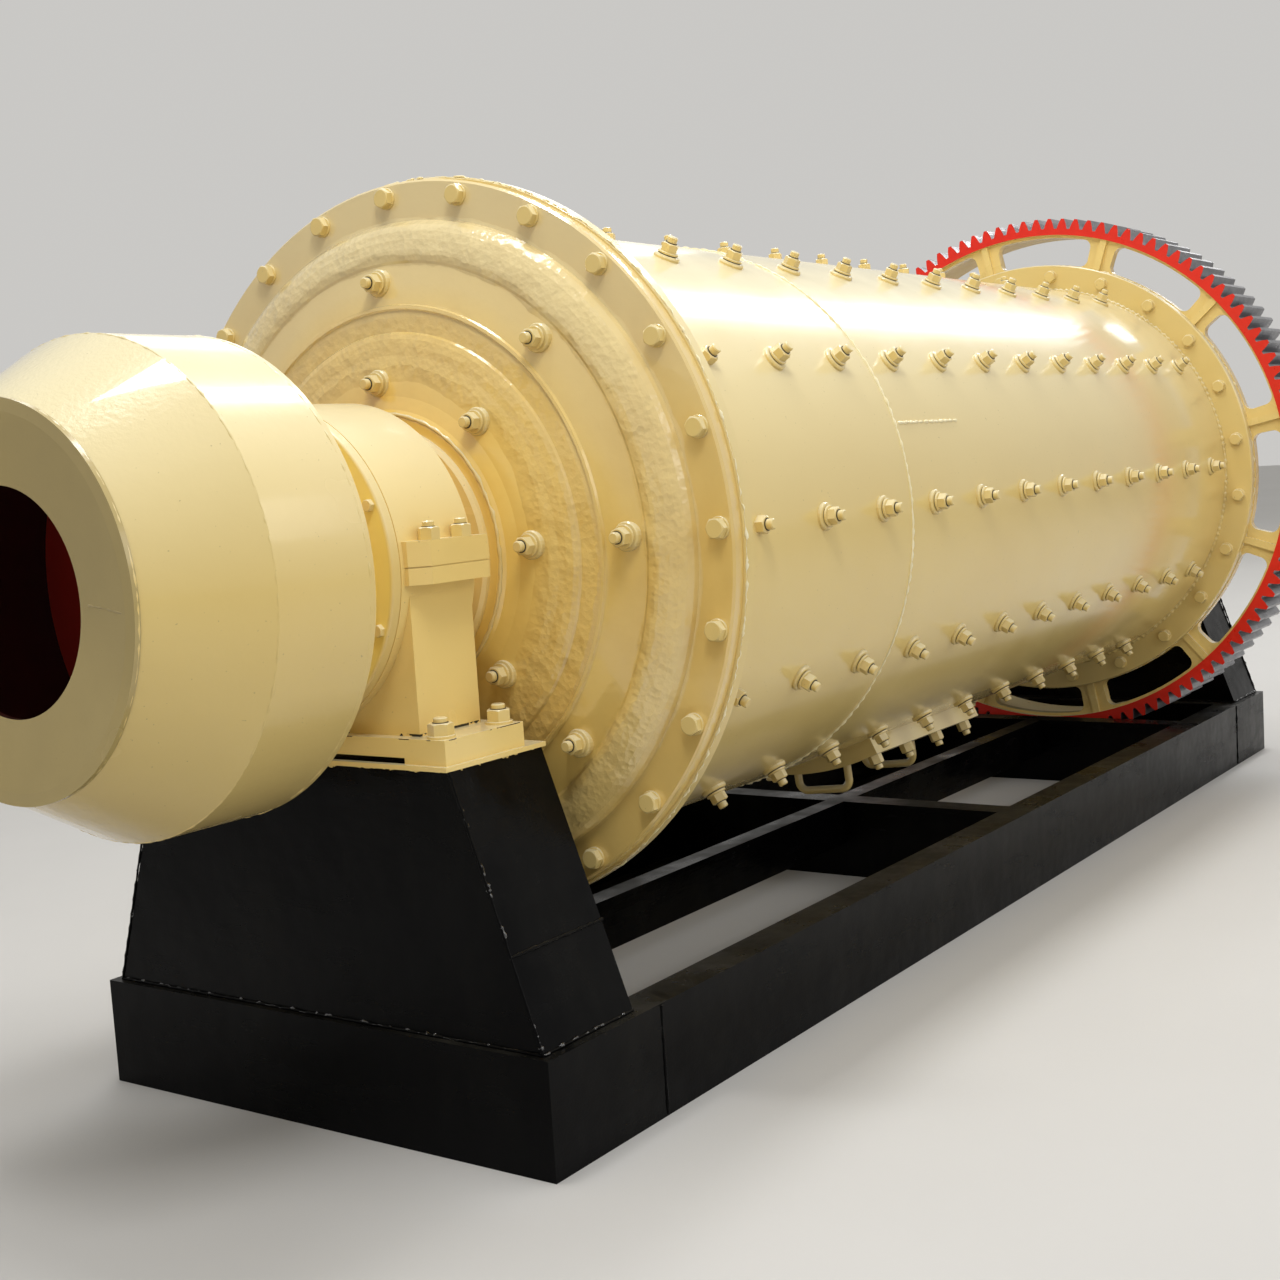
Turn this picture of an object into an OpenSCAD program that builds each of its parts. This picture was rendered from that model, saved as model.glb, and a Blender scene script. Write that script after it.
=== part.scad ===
// Small continuous ball mill: a drum with a girth gear, turning in two pedestal bearings
// on a welded skid, with a drum feeder on its feed trunnion.
// Inside the modules x runs along the mill axis from the feed joint face towards the
// discharge end, the near side is -y, and z is 0 on the mill axis.

/* [Drum] */
// Length of the shell between its two joint faces
shell_len = 3000; // [2400:50:3600]
// Inner radius of the shell
shell_bore_r = 600; // [580:5:610]
// Thickness of the shell plate
shell_wall = 12; // [10:1:16]
// How far the joint flanges stand out from the shell
flange_height = 80; // [75:1:90]
// Thickness of one joint flange
flange_t = 28; // [20:1:36]

/* [Heads] */
// Radius of the rounded shoulder where the head meets its flange
shoulder_r = 615; // [605:1:625]
// Radius where the shoulder ends
shoulder_inner_r = 539; // [520:1:550]
// Depth of the shoulder, measured from the flange face
shoulder_depth = 38; // [30:1:48]
// Radius of the thin ring cast round the head
ring_r = 455; // [430:1:480]
// Depth from the shoulder's end to the flat part of the head
slope_depth = 16; // [10:1:22]
// Radius where the inner bulge ends
bulge_r = 368; // [340:1:390]
// Width of the inner bulge
bulge_w = 42; // [30:1:50]
// Depth of the inner bulge
bulge_depth = 12; // [6:1:18]
// Radius of the boss round the trunnion
boss_r = 264; // [240:1:290]
// Distance of the boss face from the joint face
boss_depth = 125; // [115:1:135]
// Width of the fillet round the boss
boss_fillet_w = 30; // [20:1:40]
// Depth of the fillet round the boss
boss_fillet_h = 17; // [12:1:24]
// Wall of the cast head
head_wall = 34; // [26:1:44]

/* [Liners] */
// Thickness of the shell liner between its waves
liner_t = 36; // [30:1:44]
// Height of the waves of the shell liner
liner_wave_h = 22; // [14:1:28]
// Number of liner rows round the shell
liner_rows = 12; // [10:1:14]
// Thickness of the head liners
head_liner_t = 40; // [30:1:46]
// Gap between the shell liner and the head liners
liner_gap = 4; // [2:1:6]

/* [Trunnions] */
// Radius of the trunnion journals
journal_r = 200; // [180:1:215]
// Radius of the feed passage through the feed trunnion
feed_bore_r = 130; // [100:1:145]
// Radius of the passage through the discharge trunnion
discharge_bore_r = 150; // [120:1:160]
// Radius of the flanges on the trunnion ends
trunnion_flange_r = 262; // [250:1:275]
// Thickness of the flanges on the trunnion ends
trunnion_flange_t = 22; // [16:1:28]
// Thickness of the collar at each trunnion's root
trunnion_collar_t = 14; // [10:1:20]
// How much smaller than the journal the trunnion's seat in the head is
trunnion_seat_step = 20; // [14:1:26]
// Wall of the discharge spout
spout_wall = 10; // [8:1:14]
// Radius of the discharge mouth
spout_bore_r = 144; // [110:1:149]
// Length of the discharge spout outside its flange
spout_len = 90; // [60:5:140]

/* [Girth gear] */
// Module of the teeth
gear_module = 14; // [14:1:14]
// Number of teeth
gear_teeth = 118; // [118:2:120]
// Width of the rim and the teeth
gear_face_w = 220; // [180:5:220]
// Thickness of the rim below the teeth
rim_t = 19.5; // [14.5:0.5:28]
// How far the front face of the rim stands ahead of the joint face
rim_lead = 10; // [4:1:14]
// Number of arms
arm_count = 12; // [10:1:12]
// Width of an arm between two windows, halfway out
arm_w = 80; // [70:2:100]
// Thickness of the arm plate
arm_plate_t = 30; // [24:1:36]
// Thickness of the rib on each arm
rib_t = 21; // [18:1:28]
// Depth of the rib behind the arm plate
rib_depth = 80; // [40:5:110]
// Thickness of the gear's bolting ring
gear_ring_t = 46; // [44:1:60]
// Width of the plate left outside the windows
window_lip = 9; // [6:1:14]
// Corner radius of the windows
window_corner_r = 25; // [16:1:34]

/* [Drum feeder] */
// Radius of the feeder drum
feeder_r = 393; // [380:1:410]
// Radius of the flat front of the feeder
feeder_face_r = 300; // [280:1:330]
// Radius of the mouth
mouth_r = 172; // [150:1:200]
// How far the feeder's front is dished in at the mouth
feeder_dish = 10; // [4:1:16]
// Width of the flat rim round the dished front
feeder_rim_w = 20; // [14:1:30]
// Length of the feeder's cone
feeder_cone_len = 167; // [150:1:180]
// Length of the feeder's cylinder
feeder_drum_len = 186; // [175:1:210]
// Thickness of the feeder's plates
feeder_plate_t = 10; // [8:1:14]
// Distance of the feeder's back plate from the feed bearing
feeder_gap = 273; // [270:1:285]

/* [Bearings] */
// Distance of the feed bearing from the feed joint face
feed_bearing_reach = 304; // [300:1:310]
// Distance of the discharge bearing from the discharge joint face
discharge_bearing_reach = 480; // [470:1:490]
// Radius of the bearing barrel
barrel_r = 282; // [280:1:296]
// Length of the barrel on the outer side of the bearing centre
barrel_outer = 96; // [92:1:100]
// Length of the barrel on the drum side of the bearing centre
barrel_inner = 86; // [82:1:88]
// Radius of the inner end cover
inner_cover_r = 238; // [232:1:244]
// Thickness of the end covers
cover_t = 22; // [18:1:24]
// Half width of the column under the barrel
column_half_w = 278; // [250:1:279]
// Length of the column along the mill
column_len = 154; // [140:1:160]
// Half width across the ears at the split
ear_half_w = 314; // [306:1:320]
// Length of the ears along the mill
ear_len = 176; // [172:1:184]
// Height of the cap's ears above the split
cap_ear_h = 42; // [34:1:48]
// Height of the housing's ears below the split
housing_ear_h = 30; // [24:1:40]
// Length of the ears' outer corner cuts along the mill
ear_cut_len = 31; // [16:1:36]
// Width of the ears' outer corner cuts
ear_cut_w = 24; // [16:1:28]
// Width and depth of the grooves along the bearing's joints
joint_groove = 2; // [1.5:0.5:3]
// Length of the bearing's foot along the mill
foot_len = 202; // [196:1:208]
// Half width of the bearing's foot
foot_half_w = 352; // [330:1:354]
// Thickness of the bearing's foot
foot_t = 42; // [36:1:50]
// Height of the relief under the foot
foot_relief = 10; // [6:1:16]
// Half width of the relief under the foot
foot_relief_half_w = 262; // [240:1:275]
// Running gap round the journal
journal_gap = 0.3; // [0.2:0.05:0.5]
// Gap between an end cover and the trunnion
cover_gap = 6; // [5:0.5:8]

/* [Pedestals] */
// Height of the bearing foot's underside below the mill axis
foot_drop = 322; // [315:1:330]
// Thickness of the sole plates
sole_t = 8; // [6:1:12]
// Half width of the sole plates
sole_half_w = 360; // [356:1:366]
// Length of the sole plates along the mill
sole_len = 260; // [254:1:264]
// Clearance between the turning manhole handles and the skid
handle_clearance = 56; // [40:1:80]
// Length of a pedestal along the mill
pedestal_len = 248; // [240:1:252]
// How far a pedestal's middle stands from the bearing centre, towards the drum
pedestal_shift = 19; // [14:1:22]
// Half width of a pedestal at its top
pedestal_top_half_w = 354; // [353:1:370]
// Half width of a pedestal at its foot
pedestal_foot_half_w = 514; // [480:1:525]
// Plate of the pedestals
pedestal_wall = 14; // [10:1:20]

/* [Skid] */
// Height of the skid
skid_h = 200; // [200:10:240]
// Half width of the skid
skid_half_w = 535; // [530:1:560]
// How far the skid reaches past each bearing centre
skid_reach = 120; // [115:1:135]
// Length of the boxes under the pedestals
box_len = 317; // [300:1:330]
// Plate of the boxes
box_wall = 12; // [10:1:20]
// Gap between the rear cross beam and the gear
rear_beam_gap = 55; // [40:5:80]
// Web of the skid's channels
channel_web = 9; // [7:1:12]
// Flange width of the skid's channels
channel_flange_w = 75; // [60:1:80]
// Flange thickness of the skid's channels
channel_flange_t = 11; // [9:1:14]
// Height of the centre beams
centre_beam_h = 112; // [100:1:140]
// Flange width of the centre beams
centre_beam_w = 53; // [44:1:64]

/* [Manhole] */
// Length of the manhole curb along the mill
curb_len = 590; // [560:10:620]
// Half angle of the curb round the shell
curb_half_angle = 20; // [18:0.5:22]
// Width of the curb's frame
curb_frame_w = 60; // [50:1:80]
// Height of the curb above the shell
curb_h = 28; // [24:1:34]
// Thickness of the cover
cover_plate_t = 14; // [10:1:18]
// Height of the handles above the cover
handle_h = 60; // [50:1:64]
// Length of a handle's grip
handle_len = 145; // [120:5:160]
// Radius of the handles' bar
handle_bar_r = 10; // [8:1:12]
// Distance of each handle from the middle of the cover
handle_offset = 180; // [140:5:220]

/* [Hidden] */

round_steps = 96;
bar_steps = 32;
cut = 1;

cream = [0.91, 0.82, 0.6];
ochre = [0.85, 0.7, 0.4];
yellow = [0.88, 0.72, 0.25];
red = [0.78, 0.13, 0.07];
black = [0.1, 0.1, 0.11];
steel = [0.45, 0.44, 0.42];

// The drum's radii and stations along x
shell_r = shell_bore_r + shell_wall;
flange_r = shell_r + flange_height;
head_flange_r = flange_r - 6;
shoulder_x = -flange_t - shoulder_depth;
slope_x = shoulder_x - slope_depth;
gear_ring_end = shell_len + gear_ring_t;
boss_face_r = boss_r - 8;
trunnion_outer_gap = 19;
trunnion_seat_r = journal_r - trunnion_seat_step;

// The girth gear: tooth heights follow the module
pitch_r = gear_module * gear_teeth / 2;
tip_r = pitch_r + gear_module;
root_r = pitch_r - 1.25 * gear_module;
rim_inner_r = root_r - rim_t;
tooth_angle = 360 / gear_teeth;
arm_phase = 12;
liner_phase = 2;
scoop_start = -20;
scoop_sweep = -150;
rim_front = shell_len - rim_lead;
plate_front = shell_len + 8;
rib_front = rim_front + 6;

// The feeder's stations along x
feed_bearing_x = -feed_bearing_reach;
discharge_bearing_x = shell_len + discharge_bearing_reach;
feeder_back_x = feed_bearing_x - feeder_gap;
feeder_drum_x = feeder_back_x - feeder_plate_t - feeder_drum_len;
feeder_front_x = feeder_drum_x - feeder_cone_len - feeder_plate_t;

// The discharge end mirrors the bearing's distance from the trunnion flange
discharge_flange_x = discharge_bearing_x + barrel_outer + cover_t + trunnion_outer_gap;
discharge_end_x = discharge_flange_x + 2 * trunnion_flange_t + spout_len;

// The manhole sits halfway along the shell, a little up from its lowest line
manhole_x = shell_len / 2;
manhole_turn = -6;
curb_r = shell_r + curb_h;
cover_r = curb_r + cover_plate_t;
frame_angle = curb_frame_w / shell_r * 180 / PI;
handle_sweep_r = cover_r + handle_h + handle_bar_r;

// Heights below the mill axis: the skid lies clear of the turning handles
sole_z = -foot_drop - sole_t;
skid_top_z = -handle_sweep_r - handle_clearance;
skid_bottom_z = skid_top_z - skid_h;
pedestal_h = sole_z - skid_top_z;

// The skid's stations along x
skid_front_x = feed_bearing_x - skid_reach;
skid_rear_x = discharge_bearing_x + skid_reach;
beam_start_x = skid_front_x + box_len;
beam_end_x = skid_rear_x - box_len;
mid_beam_x = shell_len / 2;
rear_beam_x = rim_front - rear_beam_gap - channel_flange_w;

// The part's own frame: x from the middle of the whole length, z from the floor
mid_x = (feeder_front_x + discharge_end_x) / 2;

module placed() {
    translate([-mid_x, 0, -skid_bottom_z]) children();
}

// A profile of [radius, x] points turned about the mill axis
module turned(angle = 360, start = 0) {
    rotate([0, 90, 0]) rotate([0, 0, start]) rotate_extrude(angle = angle, $fn = round_steps) children();
}

// A flat outline across the mill axis, with depth along x
module across(x, depth) {
    translate([x, 0, 0]) rotate([0, 90, 0]) linear_extrude(depth) children();
}

// A tube or disc round the mill axis
module ring(x, depth, outer_r, inner_r) {
    turned() polygon([[inner_r, x], [outer_r, x], [outer_r, x + depth], [inner_r, x + depth]]);
}

// Part of a tube, from start to start + angle, counted from straight down
module ring_sector(x, depth, outer_r, inner_r, start, angle) {
    turned(angle, start) polygon([[inner_r, x], [outer_r, x], [outer_r, x + depth], [inner_r, x + depth]]);
}

// An elliptical quarter from [r0, x0] to [r1, x1], bulging outwards
function quarter(r0, x0, r1, x1, steps) =
    [for (i = [0:steps]) [r1 + (r0 - r1) * cos(90 * i / steps), x0 + (x1 - x0) * sin(90 * i / steps)]];

// The inside of the cast head, from its bore out to the joint face at x = 0, moved in by depth
function head_inside(depth) = [
    [trunnion_seat_r, -boss_depth + head_wall + depth], [boss_r, -boss_depth + head_wall + 6 + depth],
    [ring_r, slope_x + head_wall + depth], [shoulder_inner_r, shoulder_x + head_wall + depth]
];

// The cast head, drawn for the feed end: its joint face is at x = 0
module head_profile(bore_r) {
    flange_x = -flange_t;
    bulge_x = slope_x - bulge_depth;
    polygon(concat(
        [[head_flange_r, 0], [head_flange_r, flange_x + 4], [head_flange_r - 4, flange_x]],
        quarter(shoulder_r, flange_x, shoulder_inner_r, shoulder_x, 6),
        [
            [shoulder_inner_r - 5, shoulder_x + 2], [ring_r + 5, slope_x + 2],
            [ring_r + 3, slope_x - 4], [ring_r - 3, slope_x - 4], [ring_r - 6, slope_x]
        ],
        quarter(bulge_r + bulge_w, slope_x - 1, bulge_r, bulge_x, 4),
        [
            [boss_r + boss_fillet_w, -boss_depth + boss_fillet_h],
            [boss_r + boss_fillet_w / 5, -boss_depth + boss_fillet_h / 2],
            [boss_r, -boss_depth + 4], [boss_face_r, -boss_depth],
            [bore_r, -boss_depth]
        ],
        head_inside(0),
        [[shell_bore_r - 15, flange_x + 8], [shell_bore_r, 0]]
    ));
}

// The liner that backs the cast head
module head_liner_profile() {
    inner = head_inside(head_liner_t);
    polygon(concat(
        head_inside(0),
        [[shell_bore_r - 15, -flange_t + 8], [shell_bore_r, 0]],
        [for (i = [len(inner) - 1:-1:0]) inner[i]]
    ));
}

// The manhole's opening, from inner_r out to outer_r
module manhole_opening(outer_r, inner_r) {
    inner_angle = curb_half_angle - frame_angle;
    ring_sector(
        manhole_x - curb_len / 2 + curb_frame_w, curb_len - 2 * curb_frame_w, outer_r, inner_r,
        manhole_turn - inner_angle, 2 * inner_angle
    );
}

module shell() {
    color(cream) placed() difference() {
        ring(0, shell_len, shell_r, shell_bore_r);
        manhole_opening(shell_r + cut, shell_bore_r - cut);
    }
}

// A joint flange with a small corner cut on its outer edge
module joint_flange(x) {
    corner = 3;
    turned() polygon([
        [shell_r, x], [flange_r - corner, x], [flange_r, x + corner],
        [flange_r, x + flange_t - corner], [flange_r - corner, x + flange_t], [shell_r, x + flange_t]
    ]);
}

module feed_flange() {
    color(cream) placed() joint_flange(0);
}

module discharge_flange() {
    color(cream) placed() joint_flange(shell_len - flange_t);
}

module feed_head() {
    color(ochre) placed() turned() head_profile(trunnion_seat_r);
}

module discharge_head() {
    spigot_gap = 0.3;
    color(ochre) placed() {
        translate([gear_ring_end, 0, 0]) mirror([1, 0, 0]) turned() head_profile(trunnion_seat_r);
        ring(shell_len, gear_ring_t, shell_r - spigot_gap, shell_bore_r);
    }
}

// The inner radius of the wavy shell liner at an angle: one wave to each row
function liner_radius(a) =
    shell_bore_r - liner_t - liner_wave_h * (1 + cos(a * liner_rows)) / 2;

module shell_liner() {
    head_liner_end = shoulder_x + head_wall + head_liner_t;
    start = head_liner_end + liner_gap;
    steps = 6;
    step_angle = 360 / liner_rows / steps;
    color(steel) placed() difference() {
        across(start, gear_ring_end - 2 * start) difference() {
            circle(r = shell_bore_r, $fn = round_steps);
            polygon([for (i = [0:liner_rows * steps - 1])
                let (a = i * step_angle) liner_radius(a) * [cos(a - liner_phase), sin(a - liner_phase)]]);
        }
        manhole_opening(shell_bore_r + cut, shell_bore_r / 2);
    }
}

module feed_head_liner() {
    color(steel) placed() turned() head_liner_profile();
}

module discharge_head_liner() {
    color(steel) placed() translate([gear_ring_end, 0, 0]) mirror([1, 0, 0]) turned() head_liner_profile();
}

// A hollow trunnion with its journal and end flange, drawn towards -x from the boss face
module trunnion(bore_r, flange_x) {
    collar_r = boss_face_r - 16;
    collar_x = -boss_depth - trunnion_collar_t;
    corner = 6;
    fillet = 8;
    seat_x = -boss_depth + head_wall;
    turned() polygon([
        [bore_r, seat_x], [trunnion_seat_r, seat_x], [trunnion_seat_r, -boss_depth],
        [collar_r, -boss_depth], [collar_r, collar_x + corner], [collar_r - corner, collar_x],
        [journal_r + fillet, collar_x], [journal_r, collar_x - fillet],
        [journal_r, flange_x + trunnion_flange_t],
        [trunnion_flange_r, flange_x + trunnion_flange_t], [trunnion_flange_r, flange_x],
        [bore_r, flange_x]
    ]);
}

module feed_trunnion() {
    color(ochre) placed() trunnion(feed_bore_r, feeder_back_x);
}

module discharge_trunnion() {
    color(ochre) placed() translate([gear_ring_end, 0, 0]) mirror([1, 0, 0])
        trunnion(discharge_bore_r, gear_ring_end - discharge_flange_x - trunnion_flange_t);
}

module discharge_spout() {
    flange_x = discharge_flange_x + trunnion_flange_t;
    lip = 14;
    outer_r = spout_bore_r + spout_wall;
    color(cream) placed() turned() polygon([
        [spout_bore_r, flange_x], [trunnion_flange_r, flange_x],
        [trunnion_flange_r, flange_x + trunnion_flange_t],
        [outer_r + lip, flange_x + trunnion_flange_t], [outer_r, flange_x + trunnion_flange_t + lip],
        [outer_r, discharge_end_x], [spout_bore_r, discharge_end_x]
    ]);
}

// Half the angle that a tooth takes up at radius r, for straight-sided involute-like flanks
function tooth_half_angle(r) =
    let (flank = 20, half_pitch_tooth = tooth_angle / 4)
    half_pitch_tooth - (r - pitch_r) * tan(flank) / r * 180 / PI;

function tooth_points(i) =
    let (
        a = i * tooth_angle,
        root_a = tooth_half_angle(root_r),
        mid_a = tooth_half_angle(pitch_r) + 0.04,
        tip_a = tooth_half_angle(tip_r) - 0.08,
        left = [[root_r, -root_a], [pitch_r, -mid_a], [tip_r, -tip_a]],
        right = [[tip_r, tip_a], [pitch_r, mid_a], [root_r, root_a]]
    )
    [for (p = concat(left, right)) [p[0] * cos(a + p[1]), p[0] * sin(a + p[1])]];

module gear_rim() {
    tooth_phase = 1.6;
    color(red) placed() across(rim_front, gear_face_w) difference() {
        rotate(tooth_phase) polygon([for (i = [0:gear_teeth - 1]) each tooth_points(i)]);
        circle(r = rim_inner_r, $fn = round_steps);
    }
}

// One window between two arms: a ring sector with rounded corners
module arm_window(inner_r, outer_r, half_angle) {
    corner_inner_r = inner_r + window_corner_r;
    corner_outer_r = outer_r - window_corner_r;
    mid_r = (inner_r + outer_r) / 2;
    inner_angle = half_angle - asin(window_corner_r / corner_inner_r);
    outer_angle = half_angle - asin(window_corner_r / corner_outer_r);
    x = plate_front - cut;
    depth = arm_plate_t + 2 * cut;
    ring_sector(x, depth, corner_outer_r, corner_inner_r, -half_angle, 2 * half_angle);
    ring_sector(x, depth, mid_r, inner_r, -inner_angle, 2 * inner_angle);
    ring_sector(x, depth, outer_r, mid_r, -outer_angle, 2 * outer_angle);
    for (side = [-1, 1])
        for (corner = [[inner_angle, corner_inner_r], [outer_angle, corner_outer_r]])
            rotate([side * corner[0], 0, 0]) translate([x, 0, -corner[1]])
                rotate([0, 90, 0]) cylinder(h = depth, r = window_corner_r, $fn = bar_steps);
}

module gear_arms() {
    pitch = 360 / arm_count;
    window_inner_r = flange_r + 2;
    window_outer_r = rim_inner_r - window_lip;
    mid_r = (window_inner_r + window_outer_r) / 2;
    window_half_angle = pitch / 2 - arm_w / 2 / mid_r * 180 / PI;
    rib_end = plate_front + arm_plate_t + rib_depth;
    color(cream) placed() {
        difference() {
            union() {
                ring(plate_front, arm_plate_t, rim_inner_r, shell_r);
                ring(shell_len, gear_ring_t, flange_r, shell_r);
                intersection() {
                    for (i = [0:arm_count - 1])
                        rotate([-arm_phase - i * pitch, 0, 0])
                            translate([rib_front, -rib_t / 2, -rim_inner_r - cut])
                                cube([rib_end - rib_front, rib_t, rim_inner_r - flange_r + 2 * cut]);
                    ring(rib_front, rib_end - rib_front, rim_inner_r, flange_r);
                }
            }
            for (i = [0:arm_count - 1])
                rotate([-arm_phase - (i + 0.5) * pitch, 0, 0])
                    arm_window(window_inner_r, window_outer_r, window_half_angle);
        }
    }
}

module feeder_face() {
    flat_r = feeder_face_r - feeder_rim_w;
    back_x = feeder_front_x + feeder_plate_t;
    color(cream) placed() turned() polygon([
        [mouth_r, feeder_front_x + feeder_dish], [flat_r, feeder_front_x], [feeder_face_r, feeder_front_x],
        [feeder_face_r, back_x], [flat_r, back_x], [mouth_r, back_x + feeder_dish]
    ]);
}

module feeder_cone() {
    front_x = feeder_front_x + feeder_plate_t;
    front_r = feeder_face_r - 2;
    color(cream) placed() turned() polygon([
        [front_r - feeder_plate_t, front_x], [front_r, front_x],
        [feeder_r, feeder_drum_x], [feeder_r - feeder_plate_t, feeder_drum_x]
    ]);
}

module feeder_drum() {
    color(cream) placed() ring(feeder_drum_x, feeder_drum_len, feeder_r, feeder_r - feeder_plate_t);
}

// One point of the scoop blade's spiral, t from 0 at the drum wall to 1 at the trunnion bore
function scoop_point(t, side) =
    let (
        outer_r = feeder_r - feeder_plate_t,
        a = scoop_start + scoop_sweep * t,
        r = outer_r + (feed_bore_r + feeder_plate_t - outer_r) * t + side * feeder_plate_t
    )
    r * [cos(a), sin(a)];

// The scoop blade: a spiral wall that lifts the feed from the drum wall to the trunnion
module feeder_scoop() {
    steps = 14;
    color(red) placed() across(feeder_drum_x, feeder_drum_len) intersection() {
        circle(r = feeder_r - feeder_plate_t, $fn = round_steps);
        polygon(concat(
            [for (i = [0:steps]) scoop_point(i / steps, 0)],
            [for (i = [steps:-1:0]) scoop_point(i / steps, -1)]
        ));
    }
}

module feeder_back() {
    color(red) placed() ring(feeder_back_x - feeder_plate_t, feeder_plate_t, feeder_r, feed_bore_r);
}

module manhole_curb() {
    color(cream) placed() difference() {
        ring_sector(
            manhole_x - curb_len / 2, curb_len, curb_r, shell_r,
            manhole_turn - curb_half_angle, 2 * curb_half_angle
        );
        manhole_opening(curb_r + cut, shell_r - cut);
    }
}

module manhole_cover() {
    color(cream) placed() ring_sector(
        manhole_x - curb_len / 2, curb_len, cover_r, curb_r,
        manhole_turn - curb_half_angle, 2 * curb_half_angle
    );
}

// A bent bar handle across the cover, standing on it at x
module manhole_handle(x) {
    bend_r = 24;
    half = handle_len / 2;
    leg_x = half - bend_r;
    foot_z = -sqrt(cover_r * cover_r - half * half) + 1;
    grip_z = -cover_r - handle_h;
    rotate([manhole_turn, 0, 0]) translate([x, 0, 0]) difference() {
        union() {
            for (side = [-1, 1]) mirror([0, side < 0 ? 1 : 0, 0]) {
                translate([0, half, grip_z + bend_r])
                    cylinder(h = foot_z - grip_z - bend_r, r = handle_bar_r, $fn = bar_steps);
                translate([0, leg_x, grip_z + bend_r]) rotate([0, 90, 0])
                    rotate_extrude(angle = 90, $fn = bar_steps)
                        translate([bend_r, 0]) circle(r = handle_bar_r, $fn = bar_steps);
            }
            translate([0, -leg_x, grip_z]) rotate([-90, 0, 0])
                cylinder(h = 2 * leg_x, r = handle_bar_r, $fn = bar_steps);
        }
        ring(-handle_len, 2 * handle_len, cover_r, 1);
    }
}

module manhole_handle_front() {
    color(cream) placed() manhole_handle(manhole_x - handle_offset);
}

module manhole_handle_rear() {
    color(cream) placed() manhole_handle(manhole_x + handle_offset);
}

// Everything of a bearing is drawn for the feed end, with the outer side towards -x
module at_feed_bearing() {
    translate([feed_bearing_x, 0, 0]) children();
}

module at_discharge_bearing() {
    translate([discharge_bearing_x, 0, 0]) mirror([1, 0, 0]) children();
}

// The ears at the split, with their outer corners cut and all edges moved in by inset
module ears(z, h, inset = 0) {
    half = ear_len / 2 - inset;
    half_w = ear_half_w - inset;
    translate([0, 0, z]) linear_extrude(h) polygon([
        [-half, -half_w + ear_cut_w], [-half + ear_cut_len, -half_w],
        [half, -half_w], [half, half_w],
        [-half + ear_cut_len, half_w], [-half, half_w - ear_cut_w]
    ]);
}

module journal_hole() {
    translate([-barrel_outer - cut, 0, 0]) rotate([0, 90, 0])
        cylinder(h = barrel_outer + barrel_inner + ear_len, r = journal_r + journal_gap, $fn = round_steps);
}

// Room for an end cover beside the barrel, from x on
module cover_seat(x, seat_r) {
    side_gap = 2;
    translate([x, 0, 0]) rotate([0, 90, 0]) cylinder(h = ear_len, r = seat_r + side_gap, $fn = round_steps);
}

module barrel() {
    ring(-barrel_outer, barrel_outer + barrel_inner, barrel_r, 1);
}

module bearing_housing() {
    foot_top = -foot_drop + foot_t;
    difference() {
        union() {
            intersection() {
                barrel();
                translate([-foot_len, -barrel_r, -barrel_r - cut])
                    cube([2 * foot_len, 2 * barrel_r, barrel_r + cut]);
            }
            ears(-housing_ear_h, housing_ear_h - joint_groove);
            ears(-joint_groove, joint_groove, joint_groove);
            translate([-column_len / 2, -column_half_w, foot_top])
                cube([column_len, 2 * column_half_w, -foot_top - housing_ear_h / 2]);
            translate([-foot_len / 2, -foot_half_w, -foot_drop]) cube([foot_len, 2 * foot_half_w, foot_t]);
        }
        journal_hole();
        cover_seat(barrel_inner, inner_cover_r);
        cover_seat(-barrel_outer - ear_len, barrel_r);
        translate([-foot_len / 2 - cut, -foot_relief_half_w, -foot_drop - cut])
            cube([foot_len + 2 * cut, 2 * foot_relief_half_w, foot_relief + cut]);
    }
}

module bearing_cap() {
    difference() {
        union() {
            intersection() {
                barrel();
                translate([-foot_len, -barrel_r, 0]) cube([2 * foot_len, 2 * barrel_r, barrel_r + cut]);
            }
            ears(0, cap_ear_h);
        }
        journal_hole();
        cover_seat(barrel_inner, inner_cover_r);
    }
}

// An end cover: a thick ring with rounded edges, lying on the barrel's end at x
module end_cover(x, out, outer_r) {
    bore_r = journal_r + cover_gap;
    rim = 5;
    bore_edge = 3;
    face_x = x + out * cover_t;
    groove_x = x + out * joint_groove;
    groove_r = outer_r - joint_groove;
    turned() polygon(concat(
        [[bore_r, x], [groove_r, x], [groove_r, groove_x], [outer_r, groove_x]],
        quarter(outer_r, face_x - out * rim, outer_r - rim, face_x, 4),
        [[bore_r + bore_edge, face_x], [bore_r, face_x - out * bore_edge]]
    ));
}

module bearing_outer_cover() {
    end_cover(-barrel_outer, -1, barrel_r);
}

module bearing_inner_cover() {
    end_cover(barrel_inner, 1, inner_cover_r);
}

module feed_bearing_housing() {
    color(cream) placed() at_feed_bearing() bearing_housing();
}

module feed_bearing_cap() {
    color(cream) placed() at_feed_bearing() bearing_cap();
}

module feed_bearing_outer_cover() {
    color(yellow) placed() at_feed_bearing() bearing_outer_cover();
}

module feed_bearing_inner_cover() {
    color(yellow) placed() at_feed_bearing() bearing_inner_cover();
}

module discharge_bearing_housing() {
    color(cream) placed() at_discharge_bearing() bearing_housing();
}

module discharge_bearing_cap() {
    color(cream) placed() at_discharge_bearing() bearing_cap();
}

module discharge_bearing_outer_cover() {
    color(yellow) placed() at_discharge_bearing() bearing_outer_cover();
}

module discharge_bearing_inner_cover() {
    color(yellow) placed() at_discharge_bearing() bearing_inner_cover();
}

module sole_plate() {
    translate([pedestal_shift - sole_len / 2, -sole_half_w, sole_z]) cube([sole_len, 2 * sole_half_w, sole_t]);
}

module feed_sole_plate() {
    color(cream) placed() at_feed_bearing() sole_plate();
}

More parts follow.
